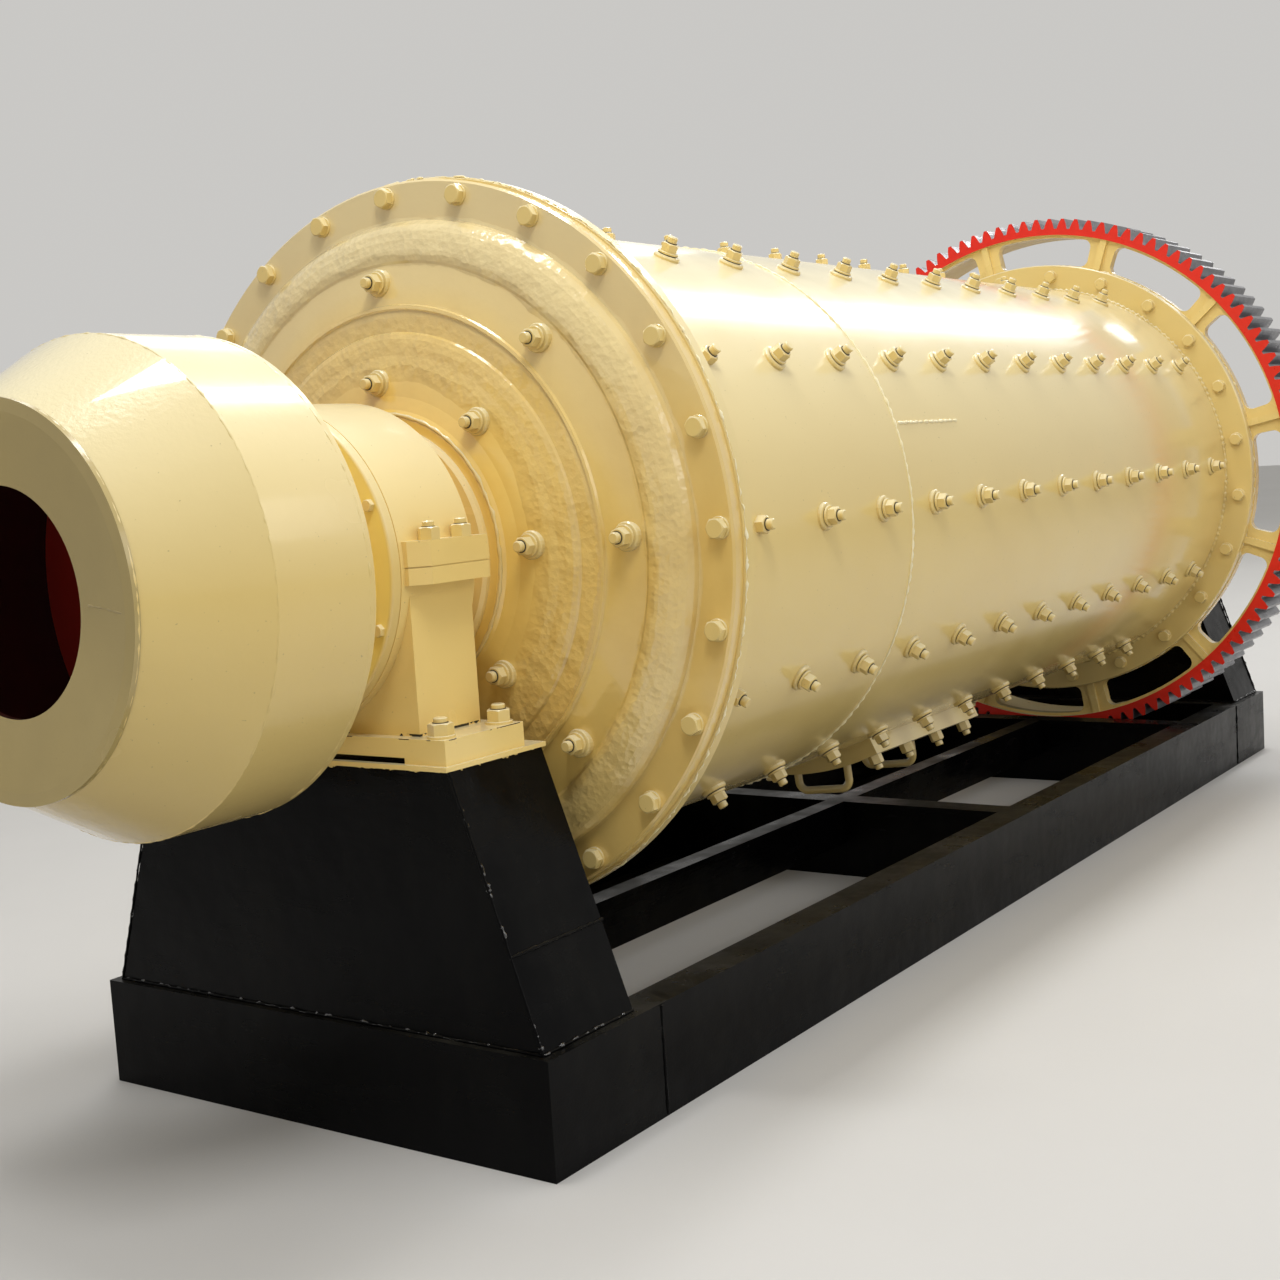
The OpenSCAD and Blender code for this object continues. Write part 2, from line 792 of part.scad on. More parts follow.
module discharge_sole_plate() {
    color(cream) placed() at_discharge_bearing() sole_plate();
}

// A pedestal with sides that slope out towards the skid
module pedestal() {
    spread = (pedestal_foot_half_w - pedestal_top_half_w) / pedestal_h;
    inner_foot_half_w = pedestal_foot_half_w - pedestal_wall * sqrt(1 + spread * spread);
    inner_h = pedestal_h - pedestal_wall;
    inner_top_half_w = inner_foot_half_w - spread * inner_h;
    start = pedestal_shift - pedestal_len / 2;
    difference() {
        translate([start, 0, 0]) rotate([90, 0, 90]) linear_extrude(pedestal_len) polygon([
            [-pedestal_top_half_w, sole_z], [pedestal_top_half_w, sole_z],
            [pedestal_foot_half_w, skid_top_z], [-pedestal_foot_half_w, skid_top_z]
        ]);
        translate([start + pedestal_wall, 0, skid_top_z]) rotate([90, 0, 90])
            linear_extrude(pedestal_len - 2 * pedestal_wall) polygon([
                [-inner_top_half_w, inner_h], [inner_top_half_w, inner_h],
                [inner_foot_half_w, 0], [inner_foot_half_w, -cut],
                [-inner_foot_half_w, -cut], [-inner_foot_half_w, 0]
            ]);
    }
}

module feed_pedestal() {
    color(black) placed() at_feed_bearing() pedestal();
}

module discharge_pedestal() {
    color(black) placed() at_discharge_bearing() pedestal();
}

// A box of plate under a pedestal, open below
module skid_box(x) {
    translate([x, -skid_half_w, skid_bottom_z]) difference() {
        cube([box_len, 2 * skid_half_w, skid_h]);
        translate([box_wall, box_wall, -cut])
            cube([box_len - 2 * box_wall, 2 * (skid_half_w - box_wall), skid_h - box_wall + cut]);
    }
}

module skid_front_box() {
    color(black) placed() skid_box(skid_front_x);
}

module skid_rear_box() {
    color(black) placed() skid_box(beam_end_x);
}

// A channel's section: its web's outer face is at u = 0, its flanges point to +u, its top is at v = 0
module channel_section(h, flange_w) {
    polygon([
        [0, 0], [flange_w, 0], [flange_w, -channel_flange_t], [channel_web, -channel_flange_t],
        [channel_web, -h + channel_flange_t], [flange_w, -h + channel_flange_t], [flange_w, -h], [0, -h]
    ]);
}

module skid_beam_near() {
    color(black) placed() translate([beam_start_x, -skid_half_w, skid_top_z]) rotate([90, 0, 90])
        linear_extrude(beam_end_x - beam_start_x) channel_section(skid_h, channel_flange_w);
}

module skid_beam_far() {
    color(black) placed() mirror([0, 1, 0]) translate([beam_start_x, -skid_half_w, skid_top_z])
        rotate([90, 0, 90]) linear_extrude(beam_end_x - beam_start_x) channel_section(skid_h, channel_flange_w);
}

// A cross beam between the side beams: its flanges stop at their flanges, its web reaches their webs
module cross_beam(x) {
    flange_half = skid_half_w - channel_flange_w;
    web_half = skid_half_w - channel_web;
    translate([x, flange_half, skid_top_z]) rotate([90, 0, 0])
        linear_extrude(2 * flange_half) channel_section(skid_h, channel_flange_w);
    translate([x, -web_half, skid_bottom_z + channel_flange_t])
        cube([channel_web, 2 * web_half, skid_h - 2 * channel_flange_t]);
}

module skid_cross_beam_mid() {
    color(black) placed() cross_beam(mid_beam_x);
}

module skid_cross_beam_rear() {
    color(black) placed() cross_beam(rear_beam_x);
}

module centre_beam(x0, x1) {
    translate([x0, -centre_beam_w / 2, skid_top_z]) rotate([90, 0, 90])
        linear_extrude(x1 - x0) channel_section(centre_beam_h, centre_beam_w);
}

module skid_centre_beam_front() {
    color(black) placed() centre_beam(beam_start_x, mid_beam_x);
}

module skid_centre_beam_rear() {
    color(black) placed() centre_beam(mid_beam_x + channel_flange_w, rear_beam_x);
}

shell();
feed_flange();
discharge_flange();
feed_head();
discharge_head();
shell_liner();
feed_head_liner();
discharge_head_liner();
feed_trunnion();
discharge_trunnion();
discharge_spout();
gear_rim();
gear_arms();
feeder_face();
feeder_cone();
feeder_drum();
feeder_scoop();
feeder_back();
manhole_curb();
manhole_cover();
manhole_handle_front();
manhole_handle_rear();
feed_bearing_housing();
feed_bearing_cap();
feed_bearing_outer_cover();
feed_bearing_inner_cover();
discharge_bearing_housing();
discharge_bearing_cap();
discharge_bearing_outer_cover();
discharge_bearing_inner_cover();
feed_sole_plate();
discharge_sole_plate();
feed_pedestal();
discharge_pedestal();
skid_front_box();
skid_rear_box();
skid_beam_near();
skid_beam_far();
skid_cross_beam_mid();
skid_cross_beam_rear();
skid_centre_beam_front();
skid_centre_beam_rear();
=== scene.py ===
# %% [markdown]
# # A ball mill, dressed
# The CAD model gives every casting, plate and beam of the mill at its true size. This notebook adds what a
# photographer would notice: paint, weld beads, bolts, bare gear teeth and dust. Each step says what the
# piece is on the real machine, how it could be made, and why this way was chosen.

import math
import random

import bmesh
import bpy
from mathutils import Matrix, Vector


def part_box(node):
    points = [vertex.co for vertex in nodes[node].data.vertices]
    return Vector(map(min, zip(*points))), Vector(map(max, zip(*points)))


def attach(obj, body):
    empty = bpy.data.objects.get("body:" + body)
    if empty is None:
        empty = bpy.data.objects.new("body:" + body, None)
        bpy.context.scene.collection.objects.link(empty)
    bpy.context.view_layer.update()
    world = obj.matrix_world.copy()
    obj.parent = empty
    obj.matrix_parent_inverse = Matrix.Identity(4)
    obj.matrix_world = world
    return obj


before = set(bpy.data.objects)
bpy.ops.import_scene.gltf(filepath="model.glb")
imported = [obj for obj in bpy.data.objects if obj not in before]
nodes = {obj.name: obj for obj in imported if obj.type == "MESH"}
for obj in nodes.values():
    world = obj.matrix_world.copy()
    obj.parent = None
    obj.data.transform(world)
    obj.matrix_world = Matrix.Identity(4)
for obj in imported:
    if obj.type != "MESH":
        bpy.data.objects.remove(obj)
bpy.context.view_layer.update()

# %% [markdown]
# ## Stations
# A fitter measures everything on a mill from the joint face at the feed end and from the axis. The same two
# references are read from the CAD nodes here, so that no place is typed twice. Angles are counted from the
# near side (0) over the top (90).

# %% Stations and angles
MM = 0.001
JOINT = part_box("shell")[0][0]
AXIS = (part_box("gear_rim")[0][2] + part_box("gear_rim")[1][2]) / 2
SHELL_R = (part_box("shell")[1][1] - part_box("shell")[0][1]) / 2


def station(mm):
    return JOINT + mm * MM


def at(mm, radius, angle):
    turn = math.radians(angle)
    return Vector((station(mm), -radius * math.cos(turn), AXIS + radius * math.sin(turn)))


print("joint face x", round(JOINT, 4), "axis height", round(AXIS, 4), "shell radius", round(SHELL_R, 4))

# %% [markdown]
# ## Camera
# The photographer stood beside the feed end with a slightly rolled camera. A camera could be framed by eye,
# but these values were solved from the drum's circles in the picture, so shapes fall where they belong.

# %% Camera
YAW, PITCH, ROLL = math.radians(35.2602), math.radians(-5.949), math.radians(-3.6187)
CAMERA_PLACE = (-3.8732, -2.2113, 1.1312)
LENS, SENSOR, FARTHEST = 48.77, 36, 200
forward = Vector((math.cos(PITCH) * math.cos(YAW), math.cos(PITCH) * math.sin(YAW), math.sin(PITCH)))
right = Vector((math.sin(YAW), -math.cos(YAW), 0))
up = right.cross(forward)
rolled_right = right * math.cos(ROLL) + up * math.sin(ROLL)
rolled_up = up * math.cos(ROLL) - right * math.sin(ROLL)

camera = bpy.data.objects.new("camera", bpy.data.cameras.new("camera"))
bpy.context.scene.collection.objects.link(camera)
turn = Matrix((rolled_right, rolled_up, -forward)).transposed().to_4x4()
camera.matrix_world = Matrix.Translation(CAMERA_PLACE) @ turn
camera.data.lens = LENS
camera.data.sensor_width = SENSOR
camera.data.clip_end = FARTHEST
bpy.context.scene.camera = camera
print("camera at", [round(v, 3) for v in camera.location])

# %% [markdown]
# ## Wiring nodes from Python
# Materials and Geometry Nodes are both node trees. One small helper adds a node, sets its options and plugs
# in its inputs, so that the cells below read like recipes.


# %% Node helpers
def add(tree, kind, wires=None, **options):
    node = tree.nodes.new(kind)
    for name, value in options.items():
        setattr(node, name, value)
    for key, value in (wires or {}).items():
        if isinstance(value, bpy.types.NodeSocket):
            tree.links.new(value, node.inputs[key])
        else:
            node.inputs[key].default_value = value
    return node


def maths(tree, operation, a, b=0.0, c=0.0, clamp=False):
    node = add(tree, "ShaderNodeMath", {0: a, 1: b, 2: c}, operation=operation, use_clamp=clamp)
    return node.outputs[0]


def blend_colour(tree, factor, first, second):
    node = add(tree, "ShaderNodeMix", {0: factor, 6: first, 7: second}, data_type="RGBA")
    return node.outputs[2]


print("node helpers ready")

# %% [markdown]
# ## Masks that follow the machine
# Paint changes where the metal does: in creases, on edges, on upward faces. Such places could be painted on
# an image, but an image slides and blurs. These masks are computed from Object coordinates instead: the
# distance from the mill's axis, the height, and the direction of the face: up, down, or towards the axis.


# %% Mask helpers
def surface(tree):
    return add(tree, "ShaderNodeTexCoord")


def parts(tree, vector):
    return add(tree, "ShaderNodeSeparateXYZ", {0: vector}).outputs


def from_axis(tree):
    place = parts(tree, surface(tree).outputs["Object"])
    return place[1], maths(tree, "SUBTRACT", place[2], AXIS)


def sum_of_products(tree, first, second):
    products = [maths(tree, "MULTIPLY", a, b) for a, b in zip(first, second)]
    return maths(tree, "ADD", *products)


def radius_from_axis(tree):
    place = from_axis(tree)
    return maths(tree, "SQRT", sum_of_products(tree, place, place))


def outward(tree):
    normal = parts(tree, surface(tree).outputs["Normal"])
    return sum_of_products(tree, from_axis(tree), (normal[1], normal[2]))


def noise(tree, scale, detail=3.0, roughness=0.55, stretch=None):
    vector = surface(tree).outputs["Object"]
    if stretch:
        vector = add(tree, "ShaderNodeMapping", {"Vector": vector, "Scale": stretch}).outputs[0]
    wires = {"Vector": vector, "Scale": scale, "Detail": detail, "Roughness": roughness}
    return add(tree, "ShaderNodeTexNoise", wires).outputs["Fac"]


def between(tree, value, low, high, to_low=0.0, to_high=1.0):
    node = add(tree, "ShaderNodeMapRange", {0: value, 1: low, 2: high, 3: to_low, 4: to_high})
    return node.outputs[0]


def upward(tree, low, high, most=1.0):
    return between(tree, parts(tree, surface(tree).outputs["Normal"])[2], low, high, 0.0, most)


def ramp(tree, value, reach, stops):
    node = add(tree, "ShaderNodeValToRGB", {0: maths(tree, "DIVIDE", value, reach)})
    edge = node.color_ramp.elements
    while len(edge) < len(stops):
        edge.new(1.0)
    for stop, (place, colour) in zip(edge, stops):
        stop.position = place / reach
        stop.color = colour
    return node.outputs[0]


print("mask helpers ready")

# %% [markdown]
# ## A coat of enamel
# Machine enamel is a thick glossy skin over rough metal. Its look comes from three things: a slow drift in
# colour, an uneven gloss, and a bump of orange peel. The recipe makes one finish from a few numbers, and a
# clear coat set on the shader itself gives the wet highlights.


# %% Enamel recipe
def new_finish(name):
    finish = bpy.data.materials.new(name)
    finish.use_nodes = True
    tree = finish.node_tree
    shader = tree.nodes["Principled BSDF"]
    return finish, tree, shader


def bumps(tree, shader, layers):
    normal = None
    for height, distance in layers:
        wires = {"Height": height, "Distance": distance, "Strength": 1.0}
        if normal is not None:
            wires["Normal"] = normal
        normal = add(tree, "ShaderNodeBump", wires).outputs[0]
    tree.links.new(normal, shader.inputs["Normal"])


def plug(tree, shader, socket, value):
    if isinstance(value, bpy.types.NodeSocket):
        tree.links.new(value, shader.inputs[socket])
    else:
        shader.inputs[socket].default_value = value


def clear_coat(shader, weight, roughness=0.12, specular=0.5):
    shader.inputs["Coat Weight"].default_value = weight
    shader.inputs["Coat Roughness"].default_value = roughness
    shader.inputs["Specular IOR Level"].default_value = specular


def uneven(tree, low, high):
    return between(tree, noise(tree, 6.0, 2.0), 0.2, 0.8, low, high)


def gloss(tree, shader, low, high, coat=0.0, metal=0.0):
    plug(tree, shader, "Roughness", uneven(tree, low, high))
    clear_coat(shader, coat)
    shader.inputs["Metallic"].default_value = metal


print("enamel recipe ready")

# %% [markdown]
# ## Cream enamel
# The shell, the bearings and the feeder wear the same cream paint. It is a little deeper in patches, with faint
# specks of dust, and it shows the ripple of a spray gun. Where it looks up it is painted paler as a painted
# highlight, and where it looks down it is painted darker as painted shade. The castings of the bearings, the
# trunnions and the gear's arms got a warmer batch of it.

# %% Cream enamel
CREAM = (0.8, 0.61, 0.23, 1)
CREAM_WARM = (0.9, 0.68, 0.25, 1)
CREAM_DEEP = (0.7, 0.48, 0.14, 1)
# Paler cream painted on faces that look up, as a painted highlight.
CREAM_PAINTED_HIGHLIGHT = (0.78, 0.69, 0.43, 1)
OCHRE = (0.66, 0.4, 0.08, 1)
# Dark tone for painted shade on faces that look down, and for specks of dust.
SHADE_AND_GRIME = (0.16, 0.12, 0.07, 1)


def cream_colour(tree, deep=0.3, base=CREAM):
    patches = between(tree, noise(tree, 2.3, 2.0), 0.3, 0.75, 0.0, deep)
    colour = blend_colour(tree, patches, base, CREAM_DEEP)
    # Painted highlight: faces that look up are painted paler.
    colour = blend_colour(tree, upward(tree, 0.0, 0.85), colour, CREAM_PAINTED_HIGHLIGHT)
    # Painted shade: faces that look down are painted darker.
    colour = blend_colour(tree, upward(tree, -0.4, -0.95, 0.3), colour, SHADE_AND_GRIME)
    specks = between(tree, noise(tree, 180.0, 1.0), 0.76, 0.8)
    return blend_colour(tree, maths(tree, "MULTIPLY", specks, 0.4), colour, SHADE_AND_GRIME)


def make_cream():
    finish, tree, shader = new_finish("cream_enamel")
    plug(tree, shader, "Base Color", cream_colour(tree))
    gloss(tree, shader, 0.14, 0.28, coat=0.4)
    bumps(tree, shader, [(noise(tree, 3.0, 2.0), 0.0016), (noise(tree, 55.0, 3.0), 0.00012)])
    return finish


cream_enamel = make_cream()
print("made", cream_enamel.name)

# %% [markdown]
# ## Under the bearing's foot
# The foot stands on two pads with a relief between them. That gap is painted black as painted shade, and in
# places a broken black line runs along the foot's top edge. The finish reads how high a point lies and how far
# it is from the bearing's centre. The gap's outer end stays cream.

# %% Bearing enamel
MIDDLE = (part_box("shell")[0][0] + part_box("shell")[1][0]) / 2
FOOT_LOW, FOOT_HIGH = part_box("feed_bearing_housing")
FOOT_FROM_MIDDLE = MIDDLE - (FOOT_LOW[0] + FOOT_HIGH[0]) / 2
FOOT_HALF = (FOOT_HIGH[0] - FOOT_LOW[0]) / 2
SOLE_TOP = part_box("feed_sole_plate")[1][2]
GAP_ALONG = (-FOOT_HALF - 0.001, FOOT_HALF - 0.003)
GAP_ACROSS = (-0.261, 0.261)
GAP_HEIGHTS = (SOLE_TOP - 0.0005, SOLE_TOP + 0.0105)
CRACK_HEIGHTS = (SOLE_TOP + 0.0405, SOLE_TOP + 0.046)
# Black for the painted shade in the gap under the foot, and for the dark line along the foot's edge.
SHADE_AND_CRACK_BLACK = (0.004, 0.004, 0.004, 1)


def inside(tree, value, low, high):
    above = maths(tree, "GREATER_THAN", value, low)
    return maths(tree, "MULTIPLY", above, maths(tree, "LESS_THAN", value, high))


def make_bearing_cream():
    finish, tree, shader = new_finish("bearing_cream")
    place = parts(tree, surface(tree).outputs["Object"])
    along = maths(tree, "ABSOLUTE", maths(tree, "SUBTRACT", place[0], MIDDLE))
    # Painted shade: the relief gap under the foot is painted black.
    under = inside(tree, maths(tree, "SUBTRACT", along, FOOT_FROM_MIDDLE), *GAP_ALONG)
    across = inside(tree, place[1], *GAP_ACROSS)
    gap = maths(tree, "MULTIPLY", across, inside(tree, place[2], *GAP_HEIGHTS))
    gap = maths(tree, "MULTIPLY", gap, under)
    # A broken black line along the foot's top edge, on faces that don't look up.
    crack = inside(tree, place[2], *CRACK_HEIGHTS)
    crack = maths(tree, "MULTIPLY", crack, maths(tree, "GREATER_THAN", noise(tree, 26.0, 3.0), 0.54))
    crack = maths(tree, "MULTIPLY", crack, upward(tree, 0.6, 0.4))
    black = maths(tree, "MAXIMUM", gap, crack)
    colour = cream_colour(tree, 0.3, CREAM_WARM)
    plug(tree, shader, "Base Color", blend_colour(tree, black, colour, SHADE_AND_CRACK_BLACK))
    gloss(tree, shader, 0.16, 0.3, coat=0.35)
    bumps(tree, shader, [(noise(tree, 6.0, 2.0), 0.002), (noise(tree, 70.0, 3.0), 0.0002)])
    return finish


bearing_cream = make_bearing_cream()
print("made", bearing_cream.name, "foot", round(FOOT_HALF * 2, 3), "long")

# %% [markdown]
# ## Cream paint over a casting
# The heads and trunnions are cast iron. A head's turned flats are smooth and ochre. Its slope and its rounded
# shoulder keep the lumpy skin of the sand mould, and on the shoulder the paint is paler. Both follow the
# radius from the axis: one ramp gives the tone, another says how lumpy the skin is. Ochre gathers in pools,
# the upper half is painted paler as a painted highlight, and a thick clear coat makes the lumps glint.

# %% Cream casting
HEAD_REACH = 0.7
HEAD_TONES = (
    (0.262, (0.9, 0.62, 0.15, 1)), (0.325, (0.88, 0.63, 0.18, 1)), (0.36, (0.82, 0.59, 0.19, 1)),
    (0.45, (0.82, 0.58, 0.18, 1)), (0.464, (0.83, 0.59, 0.17, 1)), (0.53, (0.82, 0.57, 0.16, 1)),
    (0.555, (0.85, 0.64, 0.25, 1)), (0.61, (0.85, 0.63, 0.23, 1)), (0.622, (0.81, 0.57, 0.18, 1)),
)
SMOOTH, LUMPY = (0.1, 0.1, 0.1, 1), (1, 1, 1, 1)
HEAD_SKIN = (
    (0.32, SMOOTH), (0.35, LUMPY), (0.44, LUMPY), (0.46, SMOOTH),
    (0.53, SMOOTH), (0.55, LUMPY), (0.6, LUMPY), (0.62, SMOOTH),
)


def make_casting():
    finish, tree, shader = new_finish("cream_casting")
    wander = maths(tree, "MULTIPLY_ADD", noise(tree, 9.0, 4.0), 0.03, -0.015)
    radius = maths(tree, "ADD", radius_from_axis(tree), wander)
    tone = ramp(tree, radius, HEAD_REACH, HEAD_TONES)
    pools = between(tree, noise(tree, 5.0, 5.0), 0.45, 0.75, 0.0, 0.45)
    colour = blend_colour(tree, pools, tone, OCHRE)
    place = surface(tree).outputs["Object"]
    # Painted highlight: the upper half of the head is painted paler, fully outside 0.5 m radius and faintly
    # inside.
    painted_top_highlight = between(tree, parts(tree, place)[2], AXIS, AXIS + 0.6, 0.0, 0.55)
    painted_top_highlight = maths(tree, "MULTIPLY", painted_top_highlight, between(tree, radius, 0.42, 0.5, 0.15, 1.0))
    plug(tree, shader, "Base Color", blend_colour(tree, painted_top_highlight, colour, CREAM_PAINTED_HIGHLIGHT))
    gloss(tree, shader, 0.1, 0.24)
    clear_coat(shader, 1.0, 0.05, 1.0)
    skin = ramp(tree, radius, HEAD_REACH, HEAD_SKIN)
    pits = add(tree, "ShaderNodeTexVoronoi", {"Vector": place, "Scale": 85.0}).outputs[0]
    lumps = ((noise(tree, 9.0, 2.0, 0.5), 0.009), (noise(tree, 36.0, 3.0, 0.6), 0.003), (pits, 0.0012))
    bumps(tree, shader, [(maths(tree, "MULTIPLY", lump, skin), depth) for lump, depth in lumps])
    return finish


def make_smooth_casting():
    finish, tree, shader = new_finish("cream_smooth_casting")
    plug(tree, shader, "Base Color", cream_colour(tree, 0.3, CREAM_WARM))
    gloss(tree, shader, 0.16, 0.34, coat=0.4)
    bumps(tree, shader, [(noise(tree, 11.0, 4.0, 0.6), 0.0024), (noise(tree, 48.0, 4.0, 0.6), 0.0006)])
    return finish


cream_casting = make_casting()
cream_smooth_casting = make_smooth_casting()
print("made", cream_casting.name, cream_smooth_casting.name)

# %% [markdown]
# ## End covers
# The outer bearing covers are a deeper yellow on their flat face, with a cream edge. One finish does both:
# the radius from the axis says where the edge begins. The inner covers are ochre and duller all over, and
# get a plain finish further on.

# %% Yellow cover
YELLOW = (0.95, 0.75, 0.18, 1)
COVER_EDGE_R, EDGE_FADE = 0.281, 0.006


def make_cover():
    finish, tree, shader = new_finish("yellow_cover")
    face = between(tree, radius_from_axis(tree), COVER_EDGE_R, COVER_EDGE_R - EDGE_FADE)
    tone = blend_colour(tree, between(tree, noise(tree, 6.0), 0.35, 0.7, 0, 0.5), YELLOW, CREAM_WARM)
    plug(tree, shader, "Base Color", blend_colour(tree, face, cream_colour(tree), tone))
    gloss(tree, shader, 0.22, 0.4, coat=0.3)
    bumps(tree, shader, [(noise(tree, 12.0, 3.0), 0.0015), (noise(tree, 90.0, 3.0), 0.0002)])
    return finish


yellow_cover = make_cover()
print("made", yellow_cover.name)

# %% [markdown]
# ## Red gear enamel and bare teeth
# The rim is painted red, but the teeth are cut after casting and stay bare steel, with cutter marks and a
# film of oil. A face belongs to the teeth when it stands outside the root circle and doesn't look along the
# mill, so the finish reads the radius and the direction of the face. The bore of the rim is cream like the
# arms inside it.

# %% Gear finish
ROOT_R = 0.8085
GEAR_RED, GEAR_DEEP_RED = (0.86, 0.027, 0.01, 1), (0.68, 0.02, 0.008, 1)
BARE_STEEL, OILY_STEEL = (0.38, 0.38, 0.4, 1), (0.15, 0.15, 0.16, 1)


def make_gear():
    finish, tree, shader = new_finish("red_gear")
    along = maths(tree, "ABSOLUTE", parts(tree, surface(tree).outputs["Normal"])[0])
    sideways = maths(tree, "LESS_THAN", along, 0.5)
    outside = maths(tree, "GREATER_THAN", radius_from_axis(tree), ROOT_R - 0.001)
    bare = maths(tree, "MULTIPLY", sideways, outside)
    red = blend_colour(tree, noise(tree, 11.0, 4.0), GEAR_RED, GEAR_DEEP_RED)
    red = blend_colour(tree, maths(tree, "LESS_THAN", outward(tree), -0.3), red, cream_colour(tree))
    cutter_marks = noise(tree, 60.0, 4.0, 0.6, (0.3, 1, 1))
    steel = blend_colour(tree, cutter_marks, BARE_STEEL, OILY_STEEL)
    plug(tree, shader, "Base Color", blend_colour(tree, bare, red, steel))
    plug(tree, shader, "Metallic", maths(tree, "MULTIPLY", bare, 0.7))
    plug(tree, shader, "Roughness", between(tree, noise(tree, 30.0, 4.0), 0.3, 0.7, 0.26, 0.44))
    bumps(tree, shader, [(noise(tree, 26.0, 5.0), 0.0012), (noise(tree, 160.0, 2.0, 0.5, (0.2, 1, 1)), 0.0003)])
    return finish


red_gear = make_gear()
print("made", red_gear.name)

# %% [markdown]
# ## Black enamel
# Pedestals and skid are brushed with gloss black. It mirrors the room in streaks, collects pale dust on
# every upward face, and carries dull smears on its sides. Dust is a mask on the direction of the face. At
# the pedestals' top the cream paint laps over with a ragged edge. Where the black gathered in drops it is
# still wet and glints, so the drops have a finish of their own.

# %% Black enamel
BLACK = (0.0015, 0.0015, 0.0017, 1)
DUST = (0.07, 0.065, 0.05, 1)


def make_black(name, overspill_z=None):
    finish, tree, shader = new_finish(name)
    film = between(tree, noise(tree, 5.0, 6.0, 0.65), 0.36, 0.7, 0.02, 0.36)
    smears = between(tree, noise(tree, 3.0, 5.0, 0.6, (1, 1, 0.35)), 0.48, 0.8, 0.0, 0.1)
    dusty = maths(tree, "ADD", maths(tree, "MULTIPLY", upward(tree, 0.6, 0.95), film), smears)
    colour = blend_colour(tree, dusty, BLACK, DUST)
    if overspill_z is not None:
        height = parts(tree, surface(tree).outputs["Object"])[2]
        ragged = maths(tree, "MULTIPLY_ADD", noise(tree, 34.0, 4.0, 0.6), 0.026, height)
        colour = blend_colour(tree, maths(tree, "GREATER_THAN", ragged, overspill_z), colour, CREAM)
    plug(tree, shader, "Base Color", colour)
    streaks = noise(tree, 16.0, 5.0, 0.6, (0.25, 0.25, 1))
    rough = between(tree, streaks, 0.35, 0.7, 0.08, 0.34)
    plug(tree, shader, "Roughness", maths(tree, "MULTIPLY_ADD", dusty, 0.9, rough, clamp=True))
    shader.inputs["Specular IOR Level"].default_value = 0.075
    bumps(tree, shader, [
        (noise(tree, 4.0, 3.0), 0.006),
        (noise(tree, 40.0, 4.0, 0.6, (0.2, 0.2, 1)), 0.0006),
        (noise(tree, 150.0, 2.0), 0.0002),
    ])
    return finish


black_enamel = make_black("black_enamel")
PEDESTAL_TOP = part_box("feed_pedestal")[1][2]
black_pedestal = make_black("black_pedestal", PEDESTAL_TOP + 0.012)


def make_wet_black():
    finish, tree, shader = new_finish("wet_black")
    plug(tree, shader, "Base Color", BLACK)
    gloss(tree, shader, 0.03, 0.08)
    clear_coat(shader, 1.0, specular=1.0)
    bumps(tree, shader, [(noise(tree, 90.0, 3.0, 0.6), 0.002)])
    return finish


wet_black = make_wet_black()
print("made", black_enamel.name, black_pedestal.name, wet_black.name)

# %% [markdown]
# ## Plain finishes
# Inside the feeder the blade only got red primer. The liners are raw manganese steel, dark and rough. The
# dark rings between the washers and where the stud leaves its nut are painted shade. The bead on the feeder's
# front is darkened as painted shade, the beads on the shell's seams and the joint drips are painted pale as a
# painted highlight, and the inner covers are ochre. All six are the same recipe: two tones that mix in patches,
# a gloss and a grain.


# %% Plain finishes
def make_plain(name, first, second, low, high, metal=0.0, size=18.0, depth=0.0006):
    finish, tree, shader = new_finish(name)
    patches = between(tree, noise(tree, size, 5.0), 0.3, 0.7)
    plug(tree, shader, "Base Color", blend_colour(tree, patches, (*first, 1), (*second, 1)))
    gloss(tree, shader, low, high, metal=metal)
    bumps(tree, shader, [(noise(tree, size * 3, 4.0, 0.6), depth)])
    print("made", name)
    return finish


red_primer = make_plain("red_primer", (0.7, 0.035, 0.014), (0.55, 0.026, 0.01), 0.45, 0.7)
liner_steel = make_plain(
    "liner_steel", (0.16, 0.14, 0.125), (0.08, 0.065, 0.055), 0.5, 0.75, metal=0.6, size=9.0, depth=0.002,
)
# Painted shade: the dark rings in each bolt's gaps.
bolt_gap_shade = make_plain(
    "bolt_gap_shade", (0.05, 0.035, 0.02), (0.02, 0.015, 0.01), 0.5, 0.8, size=120.0, depth=0.0003,
)
# Painted shade: the bead on the feeder's front plate is darkened like the plate.
shaded_face_seam = make_plain("shaded_face_seam", (0.48, 0.37, 0.17), (0.36, 0.28, 0.12), 0.35, 0.55)
# Painted highlight: the shell's seam beads and the joint drips are painted pale.
highlight_seam = make_plain("highlight_seam", (0.95, 0.86, 0.58), (0.88, 0.76, 0.44), 0.14, 0.3)
ochre_cover = make_plain("ochre_cover", (0.9, 0.66, 0.2), (0.84, 0.58, 0.15), 0.5, 0.7)

# %% [markdown]
# ## Feeder paint
# The feeder is welded from plate: cream outside, dark red inside where it is darkened as painted shade, and
# bright red primer on the plate behind the drum. The inside of the drum and cone is found by the direction of
# the face, which there looks towards the axis. The front plate, where the feed goes in, is painted darker in
# patches as painted shade, and on top of the cone the paint dried in small runs.

# %% Feeder finish
# Painted shade for the feeder's front plate.
FACE_SHADE_TONE = (0.42, 0.32, 0.12, 1)
